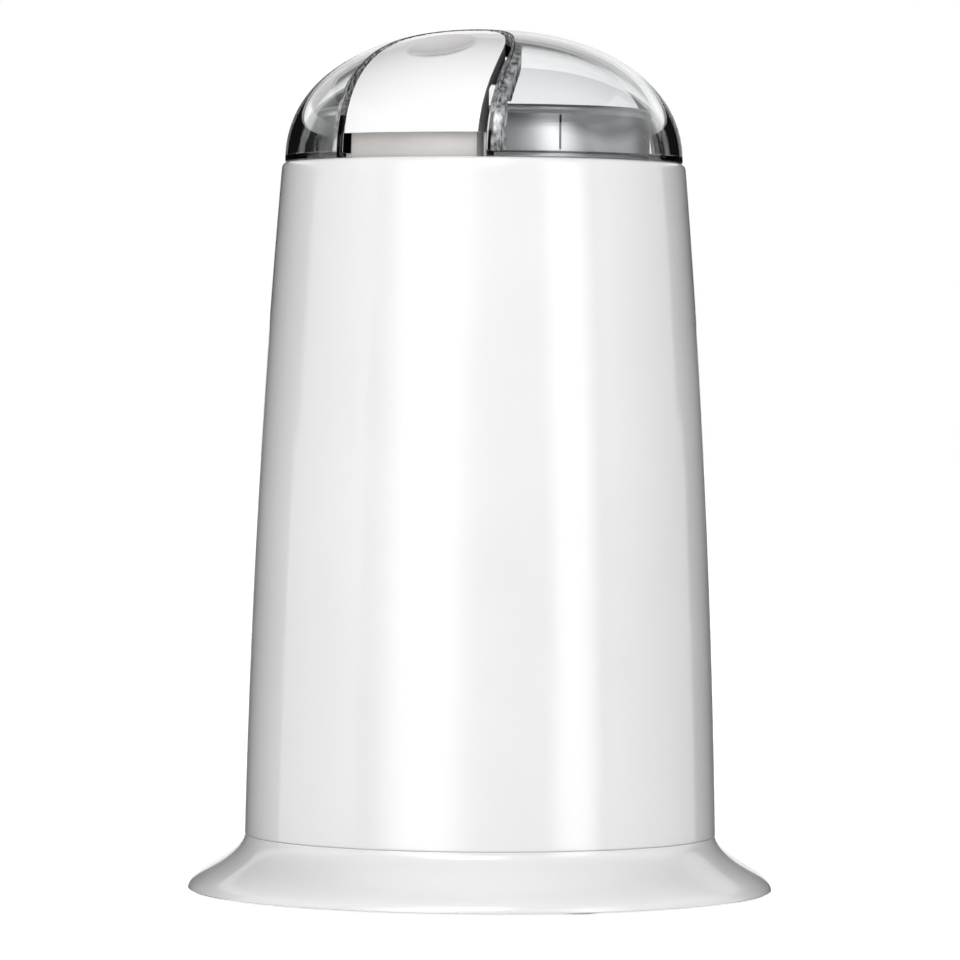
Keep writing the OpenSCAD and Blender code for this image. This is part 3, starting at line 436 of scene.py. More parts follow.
def true_normals(mesh, insets, slack):
    """Gives the corners that lie on a dome, within some slack, that dome's own normal."""
    least_z = 0.01
    likeness = 0.985
    normals = [Vector(n.vector) for n in mesh.corner_normals]
    for face in mesh.polygons:
        for corner in face.loop_indices:
            x, y, z = mesh.vertices[mesh.loops[corner].vertex_index].co / MM
            r, z = math.hypot(x, y), z - SEAM_Z
            if r < 1e-6 or z < least_z:
                continue
            for inset in insets:
                wide, high = LID_R - inset, LID_H - inset
                if abs((r / wide) ** DOME_POWER + (z / high) ** DOME_POWER - 1) > slack:
                    continue
                out = (r / wide) ** (DOME_POWER - 1) / wide
                up = (z / high) ** (DOME_POWER - 1) / high
                normal = Vector((out * x / r, out * y / r, up)).normalized()
                if abs(normal.dot(face.normal)) > likeness:
                    normals[corner] = normal if normal.dot(face.normal) > 0 else -normal
    mesh.normals_split_custom_set(normals)


def dish_ball():
    """Centre and radius of the ball that presses the finger dish into the cap, and its lowest
    point there."""
    dome = Dome()
    reach = 0.2
    slope = (dome.z_at(DISH_PLACE_R + reach) - dome.z_at(DISH_PLACE_R - reach)) / (2 * reach)
    ball_r = (DISH_R ** 2 + DISH_DEPTH ** 2) / (2 * DISH_DEPTH)
    lean = math.sqrt(1 + slope * slope)
    ball_h = (ball_r - DISH_DEPTH) / lean
    surface_z = dome.z_at(DISH_PLACE_R) - CAP_DROP * lean
    centre = Vector((0, -DISH_PLACE_R + slope * ball_h, surface_z + ball_h))
    return centre, ball_r, centre - Vector((0, slope, 1)).normalized() * ball_r


# ---------------------------------------------------------------- material tools
# The range that most of a noise lies in, and the colour sockets of a Mix node
NOISE_RANGE = (0.3, 0.7)
MIX_A, MIX_B, MIX_RESULT = 6, 7, 2


def shader_of(material):
    material.use_nodes = True
    tree = material.node_tree
    return tree, tree.nodes["Principled BSDF"]


def object_coordinates(tree):
    return tree.nodes.new("ShaderNodeTexCoord").outputs["Object"]


def noise(tree, scale, detail=2.0, stretch=(1, 1, 1)):
    mapping = tree.nodes.new("ShaderNodeMapping")
    mapping.inputs["Scale"].default_value = stretch
    tex = tree.nodes.new("ShaderNodeTexNoise")
    tex.inputs["Scale"].default_value = scale
    tex.inputs["Detail"].default_value = detail
    tree.links.new(object_coordinates(tree), mapping.inputs["Vector"])
    tree.links.new(mapping.outputs["Vector"], tex.inputs["Vector"])
    return tex.outputs["Fac"]


def ramp(tree, value, low, high, reach=NOISE_RANGE):
    """Blends two colours over a range of a value."""
    node = tree.nodes.new("ShaderNodeValToRGB")
    for element, position, colour in zip(node.color_ramp.elements, reach, (low, high)):
        element.position = position
        element.color = (*colour, 1)
    tree.links.new(value, node.inputs["Fac"])
    return node.outputs["Color"]


def remap(tree, value, source, target):
    """Maps one range of a value to another, and holds it at the ends."""
    node = tree.nodes.new("ShaderNodeMapRange")
    node.inputs["From Min"].default_value, node.inputs["From Max"].default_value = source
    node.inputs["To Min"].default_value, node.inputs["To Max"].default_value = target
    tree.links.new(value, node.inputs["Value"])
    return node.outputs["Result"]


def bump(tree, height, distance):
    node = tree.nodes.new("ShaderNodeBump")
    node.inputs["Strength"].default_value = 0.3
    node.inputs["Distance"].default_value = distance
    tree.links.new(height, node.inputs["Height"])
    return node.outputs["Normal"]


def combine(tree, operation, a, b):
    """A Math node on two sockets, where the second may be a number."""
    node = tree.nodes.new("ShaderNodeMath")
    node.operation = operation
    tree.links.new(a, node.inputs[0])
    if isinstance(b, (int, float)):
        node.inputs[1].default_value = b
    else:
        tree.links.new(b, node.inputs[1])
    return node.outputs[0]


def overlay(tree, shader, share, tone):
    """Lays a tone over the base colour, by a share from 0 to 1."""
    plain = shader.inputs["Base Color"].links[0].from_socket
    mix = tree.nodes.new("ShaderNodeMix")
    mix.data_type = "RGBA"
    tree.links.new(share, mix.inputs["Factor"])
    tree.links.new(plain, mix.inputs[MIX_A])
    tree.links.new(tone, mix.inputs[MIX_B])
    tree.links.new(mix.outputs[MIX_RESULT], shader.inputs["Base Color"])


def finish_of(name, low, high, rough, scale=60, grain=900, grain_depth=0.00002,
              stretch=(1, 1, 1), reach=NOISE_RANGE, metal=0.0, anisotropic=0.0, ior=1.5,
              specular=0.5, clear=0.0, coat=0.0, coat_rough=0.03):
    """A moulded, brushed or rubber finish: two tones and a roughness that wander, and a fine grain.
    Under a full coat the roughness wanders slowly too, since a fine one shows as white specks."""
    material = bpy.data.materials.new(name)
    tree, shader = shader_of(material)
    slow = noise(tree, scale, 3.0, stretch)
    fine = noise(tree, grain, 2.0, stretch)
    wander = slow if coat == 1.0 else fine
    tree.links.new(ramp(tree, slow, low, high, reach), shader.inputs["Base Color"])
    tree.links.new(remap(tree, wander, NOISE_RANGE, rough), shader.inputs["Roughness"])
    if grain_depth:
        tree.links.new(bump(tree, fine, grain_depth), shader.inputs["Normal"])
    for socket, value in (("Metallic", metal), ("Anisotropic", anisotropic), ("IOR", ior),
                          ("Specular IOR Level", specular), ("Transmission Weight", clear),
                          ("Coat Weight", coat), ("Coat Roughness", coat_rough)):
        shader.inputs[socket].default_value = value
    return material


def paint_dish_shade(material):
    """Painted shade inside the finger dish: a warmer, greyer tone, which fades out towards its rim."""
    tree, shader = shader_of(material)
    away = tree.nodes.new("ShaderNodeVectorMath")
    away.operation = "DISTANCE"
    tree.links.new(object_coordinates(tree), away.inputs[0])
    away.inputs[1].default_value = dish_ball()[2] * MM
    fade = ((DISH_R - 2.0) * MM, (DISH_R - 0.9) * MM)
    inside = remap(tree, away.outputs["Value"], fade, (1, 0))
    tone = ramp(tree, noise(tree, 40), (0.70, 0.675, 0.68), (0.75, 0.725, 0.73))
    overlay(tree, shader, inside, tone)


def paint_collar_reflections(material):
    """Painted reflections on the collar: lightens the steel below a wavy level and in soft level
    patches above it.
    """
    edge_z, soft, wave = 154.8 * MM, 1.2 * MM, 1.6 * MM
    reflection_patch_range = (0.50, 0.66)
    tree, shader = shader_of(material)
    split = tree.nodes.new("ShaderNodeSeparateXYZ")
    tree.links.new(object_coordinates(tree), split.inputs[0])
    waves = noise(tree, 55, detail=1.0, stretch=(1, 1, 0.2))
    level = combine(tree, "ADD", split.outputs["Z"], remap(tree, waves, NOISE_RANGE, (-wave, wave)))
    below = remap(tree, level, (edge_z - soft, edge_z + soft), (1, 0))
    clouds = noise(tree, 75, detail=1.0, stretch=(0.7, 0.7, 2.2))
    patches = remap(tree, clouds, reflection_patch_range, (0, 1))
    tone = ramp(tree, noise(tree, 60), (0.46, 0.46, 0.47), (0.60, 0.60, 0.61))
    overlay(tree, shader, combine(tree, "MAXIMUM", below, patches), tone)


# ---------------------------------------------------------------- materials
WHITE = finish_of("white_gloss", (0.80, 0.80, 0.805), (0.83, 0.83, 0.835), (0.20, 0.26),
                  scale=25, grain=700, grain_depth=0.000004, coat=1.0, coat_rough=0.06)
BRIGHT = finish_of("button_white", (0.90, 0.90, 0.90), (0.92, 0.92, 0.92), (0.22, 0.28),
                   scale=25, grain=700, grain_depth=0.0000005, coat=1.0, coat_rough=0.06)
# painted shade in the finger dish of the button's white
paint_dish_shade(BRIGHT)
# dark grey for the cap's sides: painted shade in the gap beside the lid's slot
FLANK_SHADE = finish_of("button_flank_painted_shade", (0.10, 0.10, 0.105), (0.17, 0.17, 0.175), (0.3, 0.4),
                  scale=200, grain=700)
GREY = finish_of("warm_grey_satin", (0.50, 0.48, 0.465), (0.53, 0.51, 0.495), (0.28, 0.38),
                 grain=1500)
STEEL = finish_of("polished_steel", (0.20, 0.20, 0.208), (0.28, 0.28, 0.288), (0.26, 0.38),
                  scale=45, grain=70, grain_depth=0.0006, stretch=(0.6, 0.6, 1.6), metal=1.0,
                  anisotropic=0.3)
# painted reflections: a lighter band low on the bowl's collar and lighter patches above it
paint_collar_reflections(STEEL)
CLEAR = finish_of("clear_acrylic", (0.96, 0.975, 0.98), (0.99, 0.995, 1.0), (0.0, 0.012),
                  scale=20, grain=300, grain_depth=0, ior=1.49, clear=1.0)
# the slot's satin cut face, whose dark and light mottles are painted refractions
SATIN_AND_REFRACTION_EDGE = finish_of("satin_edge_painted_refractions", (0.10, 0.102, 0.105), (0.88, 0.89, 0.90), (0.25, 0.4),
                 scale=1100, grain=900, reach=(0.4, 0.6), ior=1.49, clear=0.3)
# near black and without gloss: painted shade in the slot's lining; also the bowl's dark weld seam
SHADE_AND_SEAM_BLACK = finish_of("painted_shade_and_seam_black", (0.004, 0.004, 0.005), (0.008, 0.008, 0.009), (0.8, 0.9),
                  grain=600, specular=0.0)
# mottled dark and light: painted refractions on the lining's outer faces
RIM_REFRACTION_MOTTLE = finish_of("slot_rim_painted_refractions", (0.08, 0.08, 0.085), (0.78, 0.78, 0.79), (0.12, 0.25),
                scale=800, grain=700, stretch=(1, 1, 0.6), reach=(0.38, 0.64))

# The finish of each material slot of the CAD nodes
NODE_FINISH = {
    "plain_steel": finish_of("zinc_steel", (0.48, 0.49, 0.50), (0.60, 0.61, 0.62), (0.25, 0.4),
                             metal=1.0),
    "polished_steel": finish_of("ground_steel", (0.50, 0.50, 0.51), (0.62, 0.62, 0.63),
                                (0.12, 0.24), grain=500, metal=1.0),
    "lamination_steel": finish_of("laminations", (0.22, 0.23, 0.25), (0.34, 0.35, 0.37),
                                  (0.35, 0.55), scale=8, stretch=(0.02, 0.02, 1), metal=1.0),
    "brass": finish_of("turned_brass", (0.62, 0.46, 0.20), (0.72, 0.55, 0.27), (0.2, 0.35),
                       metal=1.0),
    "copper_wire": finish_of("enamelled_copper", (0.42, 0.16, 0.06), (0.62, 0.28, 0.12),
                             (0.15, 0.35), scale=700, metal=0.8, coat=0.5),
    "copper_bars": finish_of("copper_bars", (0.58, 0.30, 0.16), (0.70, 0.40, 0.24), (0.2, 0.4),
                             metal=1.0),
    "black_rubber": finish_of("black_rubber", (0.018, 0.018, 0.020), (0.032, 0.032, 0.034),
                              (0.6, 0.8)),
    "natural_plastic": finish_of("natural_nylon", (0.66, 0.63, 0.54), (0.72, 0.69, 0.61),
                                 (0.4, 0.55)),
    "black_plastic": finish_of("black_plastic", (0.014, 0.014, 0.016), (0.026, 0.026, 0.028),
                               (0.35, 0.5)),
    "carbon": finish_of("carbon", (0.010, 0.010, 0.010), (0.035, 0.035, 0.035), (0.5, 0.7),
                        scale=400),
    "red_plastic": finish_of("red_plastic", (0.34, 0.02, 0.012), (0.44, 0.03, 0.018),
                             (0.35, 0.5)),
    "white_plastic": WHITE,
    "grey_plastic": GREY,
    "clear_plastic": CLEAR,
}
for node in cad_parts.values():
    for place in node.material_slots:
        slot_name = place.material.name.split(".")[0]
        place.material = NODE_FINISH.get(slot_name, place.material)


# ---------------------------------------------------------------- housing and foot
def body_r(z):
    """Radius of the housing's side: a cone with a parabolic bulge."""
    t = (z - FOOT_H) / BODY_H
    return BODY_BOTTOM_R * (1 - t) + BODY_TOP_R * t + 4 * BODY_BULGE * t * (1 - t)


def housing():
    """Shell from the foot over the shoulder and the rim to the ledge, and down again inside."""
    seam_round, rim_round = 0.35, 0.3
    foot_edge = (body_r(FOOT_H) - seam_round, FOOT_H)
    side_top_z = SEAM_Z - SHOULDER_R
    lean = math.degrees(math.atan2(body_r(side_top_z - 1) - body_r(side_top_z), 1))
    opening_r = BOWL_R + SLIDE_GAP
    outer = [foot_edge]
    outer += arc((foot_edge[0], FOOT_H + seam_round), seam_round, -75, 0, 5)
    outer += [(body_r(z), z) for z in np.linspace(FOOT_H + 2 * seam_round, side_top_z, 60)]
    outer += arc((BODY_TOP_R - SHOULDER_R, side_top_z), SHOULDER_R, lean, 90, 10)[1:]
    outer += arc((LEDGE_R + rim_round, SEAM_Z - rim_round), rim_round, 90, 180, 5)
    outer += [(LEDGE_R, LEDGE_Z)]
    outer += arc((opening_r + rim_round, LEDGE_Z - rim_round), rim_round, 90, 180, 4)
    outer += [(opening_r, LEDGE_UNDER_Z)]
    inner = [(body_r(z) - BODY_WALL, z) for z in np.linspace(LEDGE_UNDER_Z, FOOT_H, 40)]
    verts, faces = lathe(outer + inner, 256)
    obj = piece("housing_shell", verts, faces, "body", WHITE, ["housing"])

    # way for the button's neck through the ledge, a hair inside the rim's wall
    way_w, way_r, way_in_y = NECK_W + SLIDE_GAP, LEDGE_R - 0.02, -26
    corner = math.degrees(math.acos(way_w / way_r))
    plan = [(-way_w, way_in_y), (way_w, way_in_y)]
    plan += arc((0, 0), way_r, -corner, corner - 180, 16)
    cut(obj, *prism(plan, LEDGE_UNDER_Z - 1, LEDGE_Z + 1))

    # hole for the cord gland in the back wall
    wall_in_y, wall_out_y = 40, 55
    verts, faces = rod(GLAND_HOLE_R, wall_in_y, wall_out_y)
    cut(obj, [(x, z, GLAND_Z - y) for x, y, z in verts], faces)


def foot():
    """Flared foot with a vented floor, a ring that plugs into the housing, and bosses for the pads."""
    def side(t, inset=0.0, drop=0.0):
        return (BODY_BOTTOM_R + (FOOT_R - BODY_BOTTOM_R) * (1 + math.cos(math.pi * t)) / 2 - inset,
                FOOT_LIFT + (FOOT_H - FOOT_LIFT) * t - drop)

    well_z = FOOT_H - WELL_DEPTH
    floor_z = well_z - FOOT_WALL
    rim_in, rim_drop, lip = 1.8, 1.7, 0.25
    plug_r = BODY_BOTTOM_R - BODY_WALL - SEAT_GAP
    under = [side(t, rim_in, rim_drop) for t in np.linspace(1, 0, 40)]
    profile = [(0, floor_z), (BODY_BOTTOM_R - rim_in - FOOT_WALL, floor_z)]
    profile += [p for p in under if FOOT_LIFT < p[1] < floor_z - 0.3]
    profile += [(FOOT_R - rim_in, FOOT_LIFT), (FOOT_R - lip, FOOT_LIFT)]
    profile += [side(t) for t in np.linspace(0.02, 0.995, 64)]
    profile += [(BODY_BOTTOM_R - 0.3, FOOT_H), (plug_r, FOOT_H), (plug_r, FOOT_H + SPIGOT_H)]
    profile += [(plug_r - FOOT_WALL, FOOT_H + SPIGOT_H), (plug_r - FOOT_WALL, well_z), (0, well_z)]
    verts, faces = lathe(profile, 256, closed=False)
    obj = piece("foot_shell", verts, faces, "body", WHITE, ["base_foot"])

    boss_top_z = side(0.45)[1] - 2
    bosses = [rod(PAD_R + 1, PAD_H, boss_top_z, on_circle(PAD_PLACE_R, a), 40) for a in PAD_ANGLES]
    cut(obj, *joined(*bosses), operation="UNION")
    holes = [block(VENT_IN_R, VENT_OUT_R, -VENT_W / 2, VENT_W / 2, floor_z - 1, FOOT_H,
                   360 * i / VENT_COUNT) for i in range(VENT_COUNT)]
    holes += [rod(M3_HOLE_R, floor_z - 1, FOOT_H, on_circle(FOOT_SCREW_PLACE_R, a), 32)
              for a in SCREW_ANGLES]
    cut(obj, *joined(*holes))


# ---------------------------------------------------------------- lid
def lid():
    """Slotted dome with a flange round its mouth and a ring that centres it in the housing."""
    outer, inner = Dome(), Dome(LID_WALL)
    band, step, count, around = 0.8, 0.9, 72, 256
    away = slot_distance(SLOT_W, SLOT_END)

    def turn(points):
        """Even angles from the first point of a row to its last, the long way round."""
        a0, a1 = (math.atan2(points[i][1], points[i][0]) for i in (0, -1))
        return [a0 + (a1 - a0) % (2 * math.pi) * i / around for i in range(around + 1)]

    def loop_of(points, s, angles):
        """Closed loop: back along the slot, and round the mouth the long way."""
        return points[::-1] + [(s * math.cos(a), s * math.sin(a)) for a in angles[1:-1]]

    # outer dome: a band of quads beside the slot, and the rest
    s_end = float(outer.s[-1])
    edge = slot_edge(outer, SLOT_W, SLOT_END, s_end, count)
    near = slot_edge(outer, SLOT_W + band, SLOT_END - band, s_end, count)
    top = [outer.lift(*p) for p in edge]
    seam = turn(near)
    parts = [strip(top, [outer.lift(*p) for p in near])]
    parts.append(patch(outer, loop_of(near, s_end, seam),
                       lambda x, y: away(x, y) > band + 0.5 * step, step, s_end))

    # inner dome, down to the flange
    s_in = inner.s_of_z(FLANGE_Z)
    in_edge = slot_edge(inner, SLOT_W, SLOT_END, s_in, count)
    in_top = [inner.lift(*p) for p in in_edge]
    mouth = turn(in_edge)
    parts.append(patch(inner, loop_of(in_edge, s_in, mouth),
                       lambda x, y: away(x, y) > 0.5 * step, step, s_in))
    parts.append(strip(top, in_top))

    # rings of the mouth: from the seam down the centring ring and up to the flange
    def ring(r, z, angles):
        return [(r * math.cos(a), r * math.sin(a), z) for a in angles]

    def from_slot(r):
        a = -math.acos(width_at(r, SLOT_W, SLOT_END) / r)
        return list(np.linspace(a, math.pi - a, around + 1))

    out_a, in_a = from_slot(SPIGOT_R), from_slot(SPIGOT_IN_R)
    rings = [ring(SPIGOT_R, SEAM_Z, out_a), ring(SPIGOT_R, SPIGOT_Z, out_a),
             ring(SPIGOT_IN_R, SPIGOT_Z, in_a), ring(SPIGOT_IN_R, FLANGE_Z, in_a),
             ring(inner.r_of_s(s_in), FLANGE_Z, mouth)]
    parts += [strip(a, b) for a, b in zip(rings, rings[1:])]
    ends = [math.atan2(edge[i][1], edge[i][0]) for i in (0, -1)]
    parts.append(strip(ring(LID_R, SEAM_Z, [ends[0]] + seam + [ends[1]]),
                       ring(SPIGOT_R, SEAM_Z, out_a[:1] + out_a + out_a[-1:])))

    # the two ends of the cut, beside the slot's mouth
    for i in (0, -1):
        face = [top[i], in_top[i]] + [row[i] for row in reversed(rings[:4])]
        parts.append((face, [tuple(range(len(face)))]))
    verts, faces = joined(*parts)
    obj = piece("lid_shell", verts, faces, "lid", CLEAR, ["lid"])
    round_edges(obj, 0.3, 3)
    # satin cut faces of the slot, with painted mottled refractions
    paint(obj, SATIN_AND_REFRACTION_EDGE, lambda place, normal: place.z > SATIN_Z
          and abs(away(place.x, place.y)) < 0.1 and abs(normal.z) < 0.3)
    true_normals(obj.data, (0, LID_WALL), 0.002)


def slot_liner():
    """Wall that lines the slot below the dome: painted shade in near black towards the button, painted
    mottled refractions elsewhere.
    """
    under, deep = Dome(LID_WALL + 0.02), Dome(SLOT_WALL_DEPTH)
    s_front = under.s_of_z(FLANGE_Z + 0.5)
    foot_z = FLANGE_Z + 0.02
    rows = []
    for w, end in ((SLOT_W, SLOT_END), (SLOT_W + SLOT_WALL_T, SLOT_END - SLOT_WALL_T)):
        high = [under.lift(*p) for p in slot_edge(under, w, end, s_front, 72, SLOT_ROOM_R)]
        low = []
        for x, y, _ in high:
            r = math.hypot(x, y)
            past_bowl = r > SLOT_ROOM_R - 0.01
            low.append((x, y, foot_z if past_bowl else max(deep.z_at(r), SLOT_ROOM_Z)))
        rows.append((high, low))
    (high, low), (high_in, low_in) = rows
    parts = [strip(high, low), strip(high_in, low_in), strip(high, high_in), strip(low, low_in)]
    parts += [([high[i], high_in[i], low_in[i], low[i]], [(0, 1, 2, 3)]) for i in (0, -1)]
    verts, faces = joined(*parts)
    obj = piece("slot_liner", verts, faces, "lid", SHADE_AND_SEAM_BLACK)
    round_edges(obj, 0.15, 2)
    away = slot_distance(SLOT_W, SLOT_END)
    # painted mottled refractions on the lining's faces away from the slot
    paint(obj, RIM_REFRACTION_MOTTLE, lambda place, normal: away(place.x, place.y) > 0.4)


# ---------------------------------------------------------------- button
def button_cap():
    """Hollow cap that continues the lid's dome, with a finger dish and a skirt under its edge."""
    outer, inner, skirt = Dome(CAP_DROP), Dome(CAP_DROP + CAP_WALL), Dome(CAP_SKIRT)
    band, step, in_step, count, n_front = 0.6, 0.6, 1.2, 80, 36
    centre, ball_r, _ = dish_ball()
    away = slot_distance(CAP_W, CAP_END)

    def loop_of(dome, w, end, s_front):
        """Closed loop on a dome: right side inwards, inner end, left side outwards, front edge."""
        flat = slot_edge(dome, w, end, s_front, count, CAP_ROOM_R)
        a0, a1 = (math.atan2(flat[i][1], flat[i][0]) for i in (-1, 0))
        front = np.linspace(a0, a1, n_front + 1)[1:-1]
        return flat + [(s_front * math.cos(a), s_front * math.sin(a)) for a in front]

    def filled(dome, loop, s_front, margin, grid):
        """The dome inside a loop, where a margin beside the cap's outline gets no inner points."""
        return patch(dome, loop, lambda x, y: away(x, y) < -margin[0]
                     and dome.s_at(math.hypot(x, y)) < s_front - margin[1], grid, s_front)

    s_front, s_in = outer.s_of_z(CAP_Z), inner.s_of_z(CAP_Z)
    edge = loop_of(outer, CAP_W, CAP_END, s_front)
    near = loop_of(outer, CAP_W - band, CAP_END + band, s_front - band)
    in_edge = loop_of(inner, CAP_W - CAP_WALL, CAP_END + CAP_WALL, s_in)
    top = [outer.lift(*p) for p in edge]
    rim = [outer.lift(*p) for p in near]
    under = [inner.lift(*p) for p in in_edge]
    inset = band + 0.5 * step
    in_margin = (CAP_WALL + 0.5 * in_step, 0.5 * in_step)
    parts = [strip(top + top[:1], rim + rim[:1])]
    parts.append(filled(outer, near, s_front, (inset, inset), step))
    parts.append(filled(inner, in_edge, s_in, in_margin, in_step))

    def skirt_edge(points):
        """The skirt's lower edge under a loop, with a step where the bowl's rim passes, and the
        loop's points above it."""
        lows, highs = [], []
        for p, q in zip(points + points[:1], points[1:] + points[:2]):
            r, next_r = math.hypot(p[0], p[1]), math.hypot(q[0], q[1])
            chamfer = max(CAP_ROOM_CORNER - (CAP_ROOM_R - r) / 1.2, 0)
            deep_z = max(CAP_ROOM_Z - chamfer, skirt.z_at(r))
            if abs(r - CAP_ROOM_R) < 0.02:
                levels = (CAP_Z, deep_z) if next_r < r else (deep_z, CAP_Z)
            else:
                levels = (CAP_Z,) if r > CAP_ROOM_R else (deep_z,)
            for z in levels:
                lows.append((p[0], p[1], min(z, p[2])))
                highs.append(p)
        return highs, lows

    highs, lows = skirt_edge(top)
    in_highs, in_lows = skirt_edge(under)
    parts += [strip(highs, lows), strip(lows, in_lows), strip(in_lows, in_highs)]

    def dished(p):
        """Presses a point of the cap's top into the dish, with a soft rim."""
        if outer.z_at(math.hypot(p[0], p[1])) - p[2] > 0.05:
            return p
        p, soft = Vector(p), 0.22
        out = p - centre
        depth = ball_r - out.length
        blend = max(soft - abs(depth), 0) / soft
        return tuple(p + out.normalized() * (max(depth, 0) + blend * blend * soft / 4))

    verts, faces = joined(*parts)
    obj = piece("button_cap_shell", [dished(p) for p in verts], faces, "button",
                BRIGHT, ["button_cap"])
    round_edges(obj, 0.7, 5)

    # room for the bowl's rim, a hair wider and higher than the skirt's own step
    room_r, room_z = CAP_ROOM_R + 0.03, CAP_ROOM_Z + 0.05
    room = [(0, FLANGE_Z), (room_r, FLANGE_Z), (room_r, room_z - CAP_ROOM_CORNER),
            (room_r - 1.2 * CAP_ROOM_CORNER, room_z), (0, room_z)]
    cut(obj, *lathe(room, closed=False))
    # painted shade: the cap's sides, in the gap beside the slot, get the dark grey
    paint(obj, FLANK_SHADE, lambda place, normal: abs(away(place.x, place.y)) < 0.1
          and abs(normal.z) < 0.3)
    true_normals(obj.data, (CAP_DROP,), 0.0004)


def button_neck():
    """Curved neck with stop lips, as a sector of a ring."""
    cols = 24

    def curve(radius, w0, w1, z):
        return [(x, -math.sqrt(radius ** 2 - x * x), z) for x in np.linspace(w0, w1, cols + 1)]

    levels = ((NECK_Z, STOP_W), (LEDGE_UNDER_Z, STOP_W), (LEDGE_UNDER_Z, NECK_W), (CAP_Z, NECK_W))
    fronts = [curve(NECK_OUT_R, -w, w, z) for z, w in levels]
    backs = [curve(NECK_IN_R, w, -w, z) for z, w in levels]
    rows = [front + back + front[:1] for front, back in zip(fronts, backs)]
    parts = [strip(a, b) for a, b in zip(rows, rows[1:])]
    parts += [strip(fronts[i], backs[i][::-1]) for i in (0, -1)]
    verts, faces = joined(*parts)
    obj = piece("button_neck", verts, faces, "button", GREY, ["button_slider"])
    round_edges(obj, 0.3, 3)


def return_spring():
    """Wire coil with a closed turn at each end."""
    steps, sides = 24, 10
    closed, rise = 2.1 * WIRE_R, COIL_H - 2 * WIRE_R
    turns = (0, 1, COIL_TURNS - 1, COIL_TURNS)
    heights = (0, closed, rise - closed, rise)
    verts = []
    for i in range(steps * COIL_TURNS + 1):
        turn = 2 * math.pi * i / steps
        middle_z = COIL_Z + WIRE_R + np.interp(i / steps, turns, heights)
        for j in range(sides):
            around = 2 * math.pi * j / sides
            r = COIL_R + WIRE_R * math.cos(around)
            verts.append((r * math.cos(turn), r * math.sin(turn) - COIL_PLACE_R,
                          middle_z + WIRE_R * math.sin(around)))
    last = steps * COIL_TURNS * sides
    faces = [(i + j, i + (j + 1) % sides, i + sides + (j + 1) % sides, i + sides + j)
             for i in range(0, last, sides) for j in range(sides)]
    faces += [tuple(range(sides))[::-1], tuple(range(last, last + sides))]
    obj = piece("spring_coil", verts, faces, "body", NODE_FINISH["plain_steel"],
                ["return_spring"])
    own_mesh(obj)


# ---------------------------------------------------------------- bowl
def bowl():
    """Steel bowl with a beaded rim and its three studs, and the weld seam of its collar."""
    bead_r = 0.7
    bead_z = BOWL_RIM_Z - 2 * bead_r
    corner = (BOWL_R - BOWL_CORNER_R, BOWL_Z + BOWL_CORNER_R)
    profile = [(BOWL_HUB_R, BOWL_Z)] + arc(corner, BOWL_CORNER_R, -90, 0, 16)
    profile += [(BOWL_R, bead_z - 0.3)]
    profile += arc((BOWL_R + BEAD_W - bead_r, BOWL_RIM_Z - bead_r), bead_r, -45, 160, 14)
    profile += [(BOWL_R - BOWL_T, bead_z)]
    profile += arc(corner, BOWL_CORNER_R - BOWL_T, 0, -90, 16) + [(BOWL_HUB_R, BOWL_Z + BOWL_T)]
    studs = [rod(M3_R, STUD_END_Z, BOWL_Z + 0.3, on_circle(STUD_PLACE_R, a), 24)
             for a in SCREW_ANGLES]
    verts, faces = joined(lathe(profile), *studs)
    piece("bowl_shell", verts, faces, "body", STEEL, ["bowl"])

    seam_w, proud, sunk, seam_turn = 0.4, 0.08, 0.1, 49
    verts, faces = block(-seam_w / 2, seam_w / 2, -BOWL_R - proud, -BOWL_R + sunk,
                         SEAM_Z + 1.8, bead_z - 0.5, seam_turn)
    piece("bowl_seam", verts, faces, "body", SHADE_AND_SEAM_BLACK)


housing()
foot()
lid()
slot_liner()
button_cap()
button_neck()
return_spring()
bowl()


# ---------------------------------------------------------------- camera
CAM_AZIMUTH = math.radians(23)
CAM_DISTANCE = 1.201
CAM_Z = 0.1049
CAM_ROLL = math.radians(0.35)
TARGET_Z = 0.0845
TARGET_LEFT = 0.00043


def direction(offset=0.0):
    """Level direction at an angle to the right of the camera, seen from the object."""
    a = CAM_AZIMUTH + math.radians(offset)
    return Vector((math.sin(a), -math.cos(a), 0))


def aimed(obj, place, target):
    """Puts a camera or a lamp at a place, looking at a target."""
    obj.location = place
    obj.rotation_mode = "QUATERNION"
    obj.rotation_quaternion = (target - place).to_track_quat("-Z", "Y")


camera = placed("camera", bpy.data.cameras.new("camera"))
camera.data.lens = 219.3
camera.data.sensor_width = 36.0
camera.data.clip_start = 0.05
camera.data.clip_end = 40
up = Vector((0, 0, 1))
aimed(camera, direction() * CAM_DISTANCE + up * CAM_Z, up * TARGET_Z - direction(90) * TARGET_LEFT)
camera.rotation_quaternion @= Matrix.Rotation(CAM_ROLL, 3, "Z").to_quaternion()
scene.camera = camera


# ---------------------------------------------------------------- stage and light
AMBIENT = 0.17
OVERHEAD = 0.56
ROOM_R = 2.6
ROOM_Z = (-1.0, 2.4)
FLAG_R = 0.75
FLAG_HIGH_Z = (0.13, 0.34)
FLAG_LOW_Z = (-0.4, 0.13)


def seen(tree):
    """1 for the rays that show the backdrop: camera, glossy and transmission rays."""
    path = tree.nodes.new("ShaderNodeLightPath")
    either = combine(tree, "MAXIMUM", path.outputs["Is Camera Ray"], path.outputs["Is Glossy Ray"])
    return combine(tree, "MAXIMUM", either, path.outputs["Is Transmission Ray"])


def mix_shaders(tree, share, first, second):
    """The first shader where the share is 0, the second where it is 1."""
    mix = tree.nodes.new("ShaderNodeMixShader")
    tree.links.new(share, mix.inputs["Fac"])
    tree.links.new(first.outputs[0], mix.inputs[1])
    tree.links.new(second.outputs[0], mix.inputs[2])
    return mix.outputs[0]


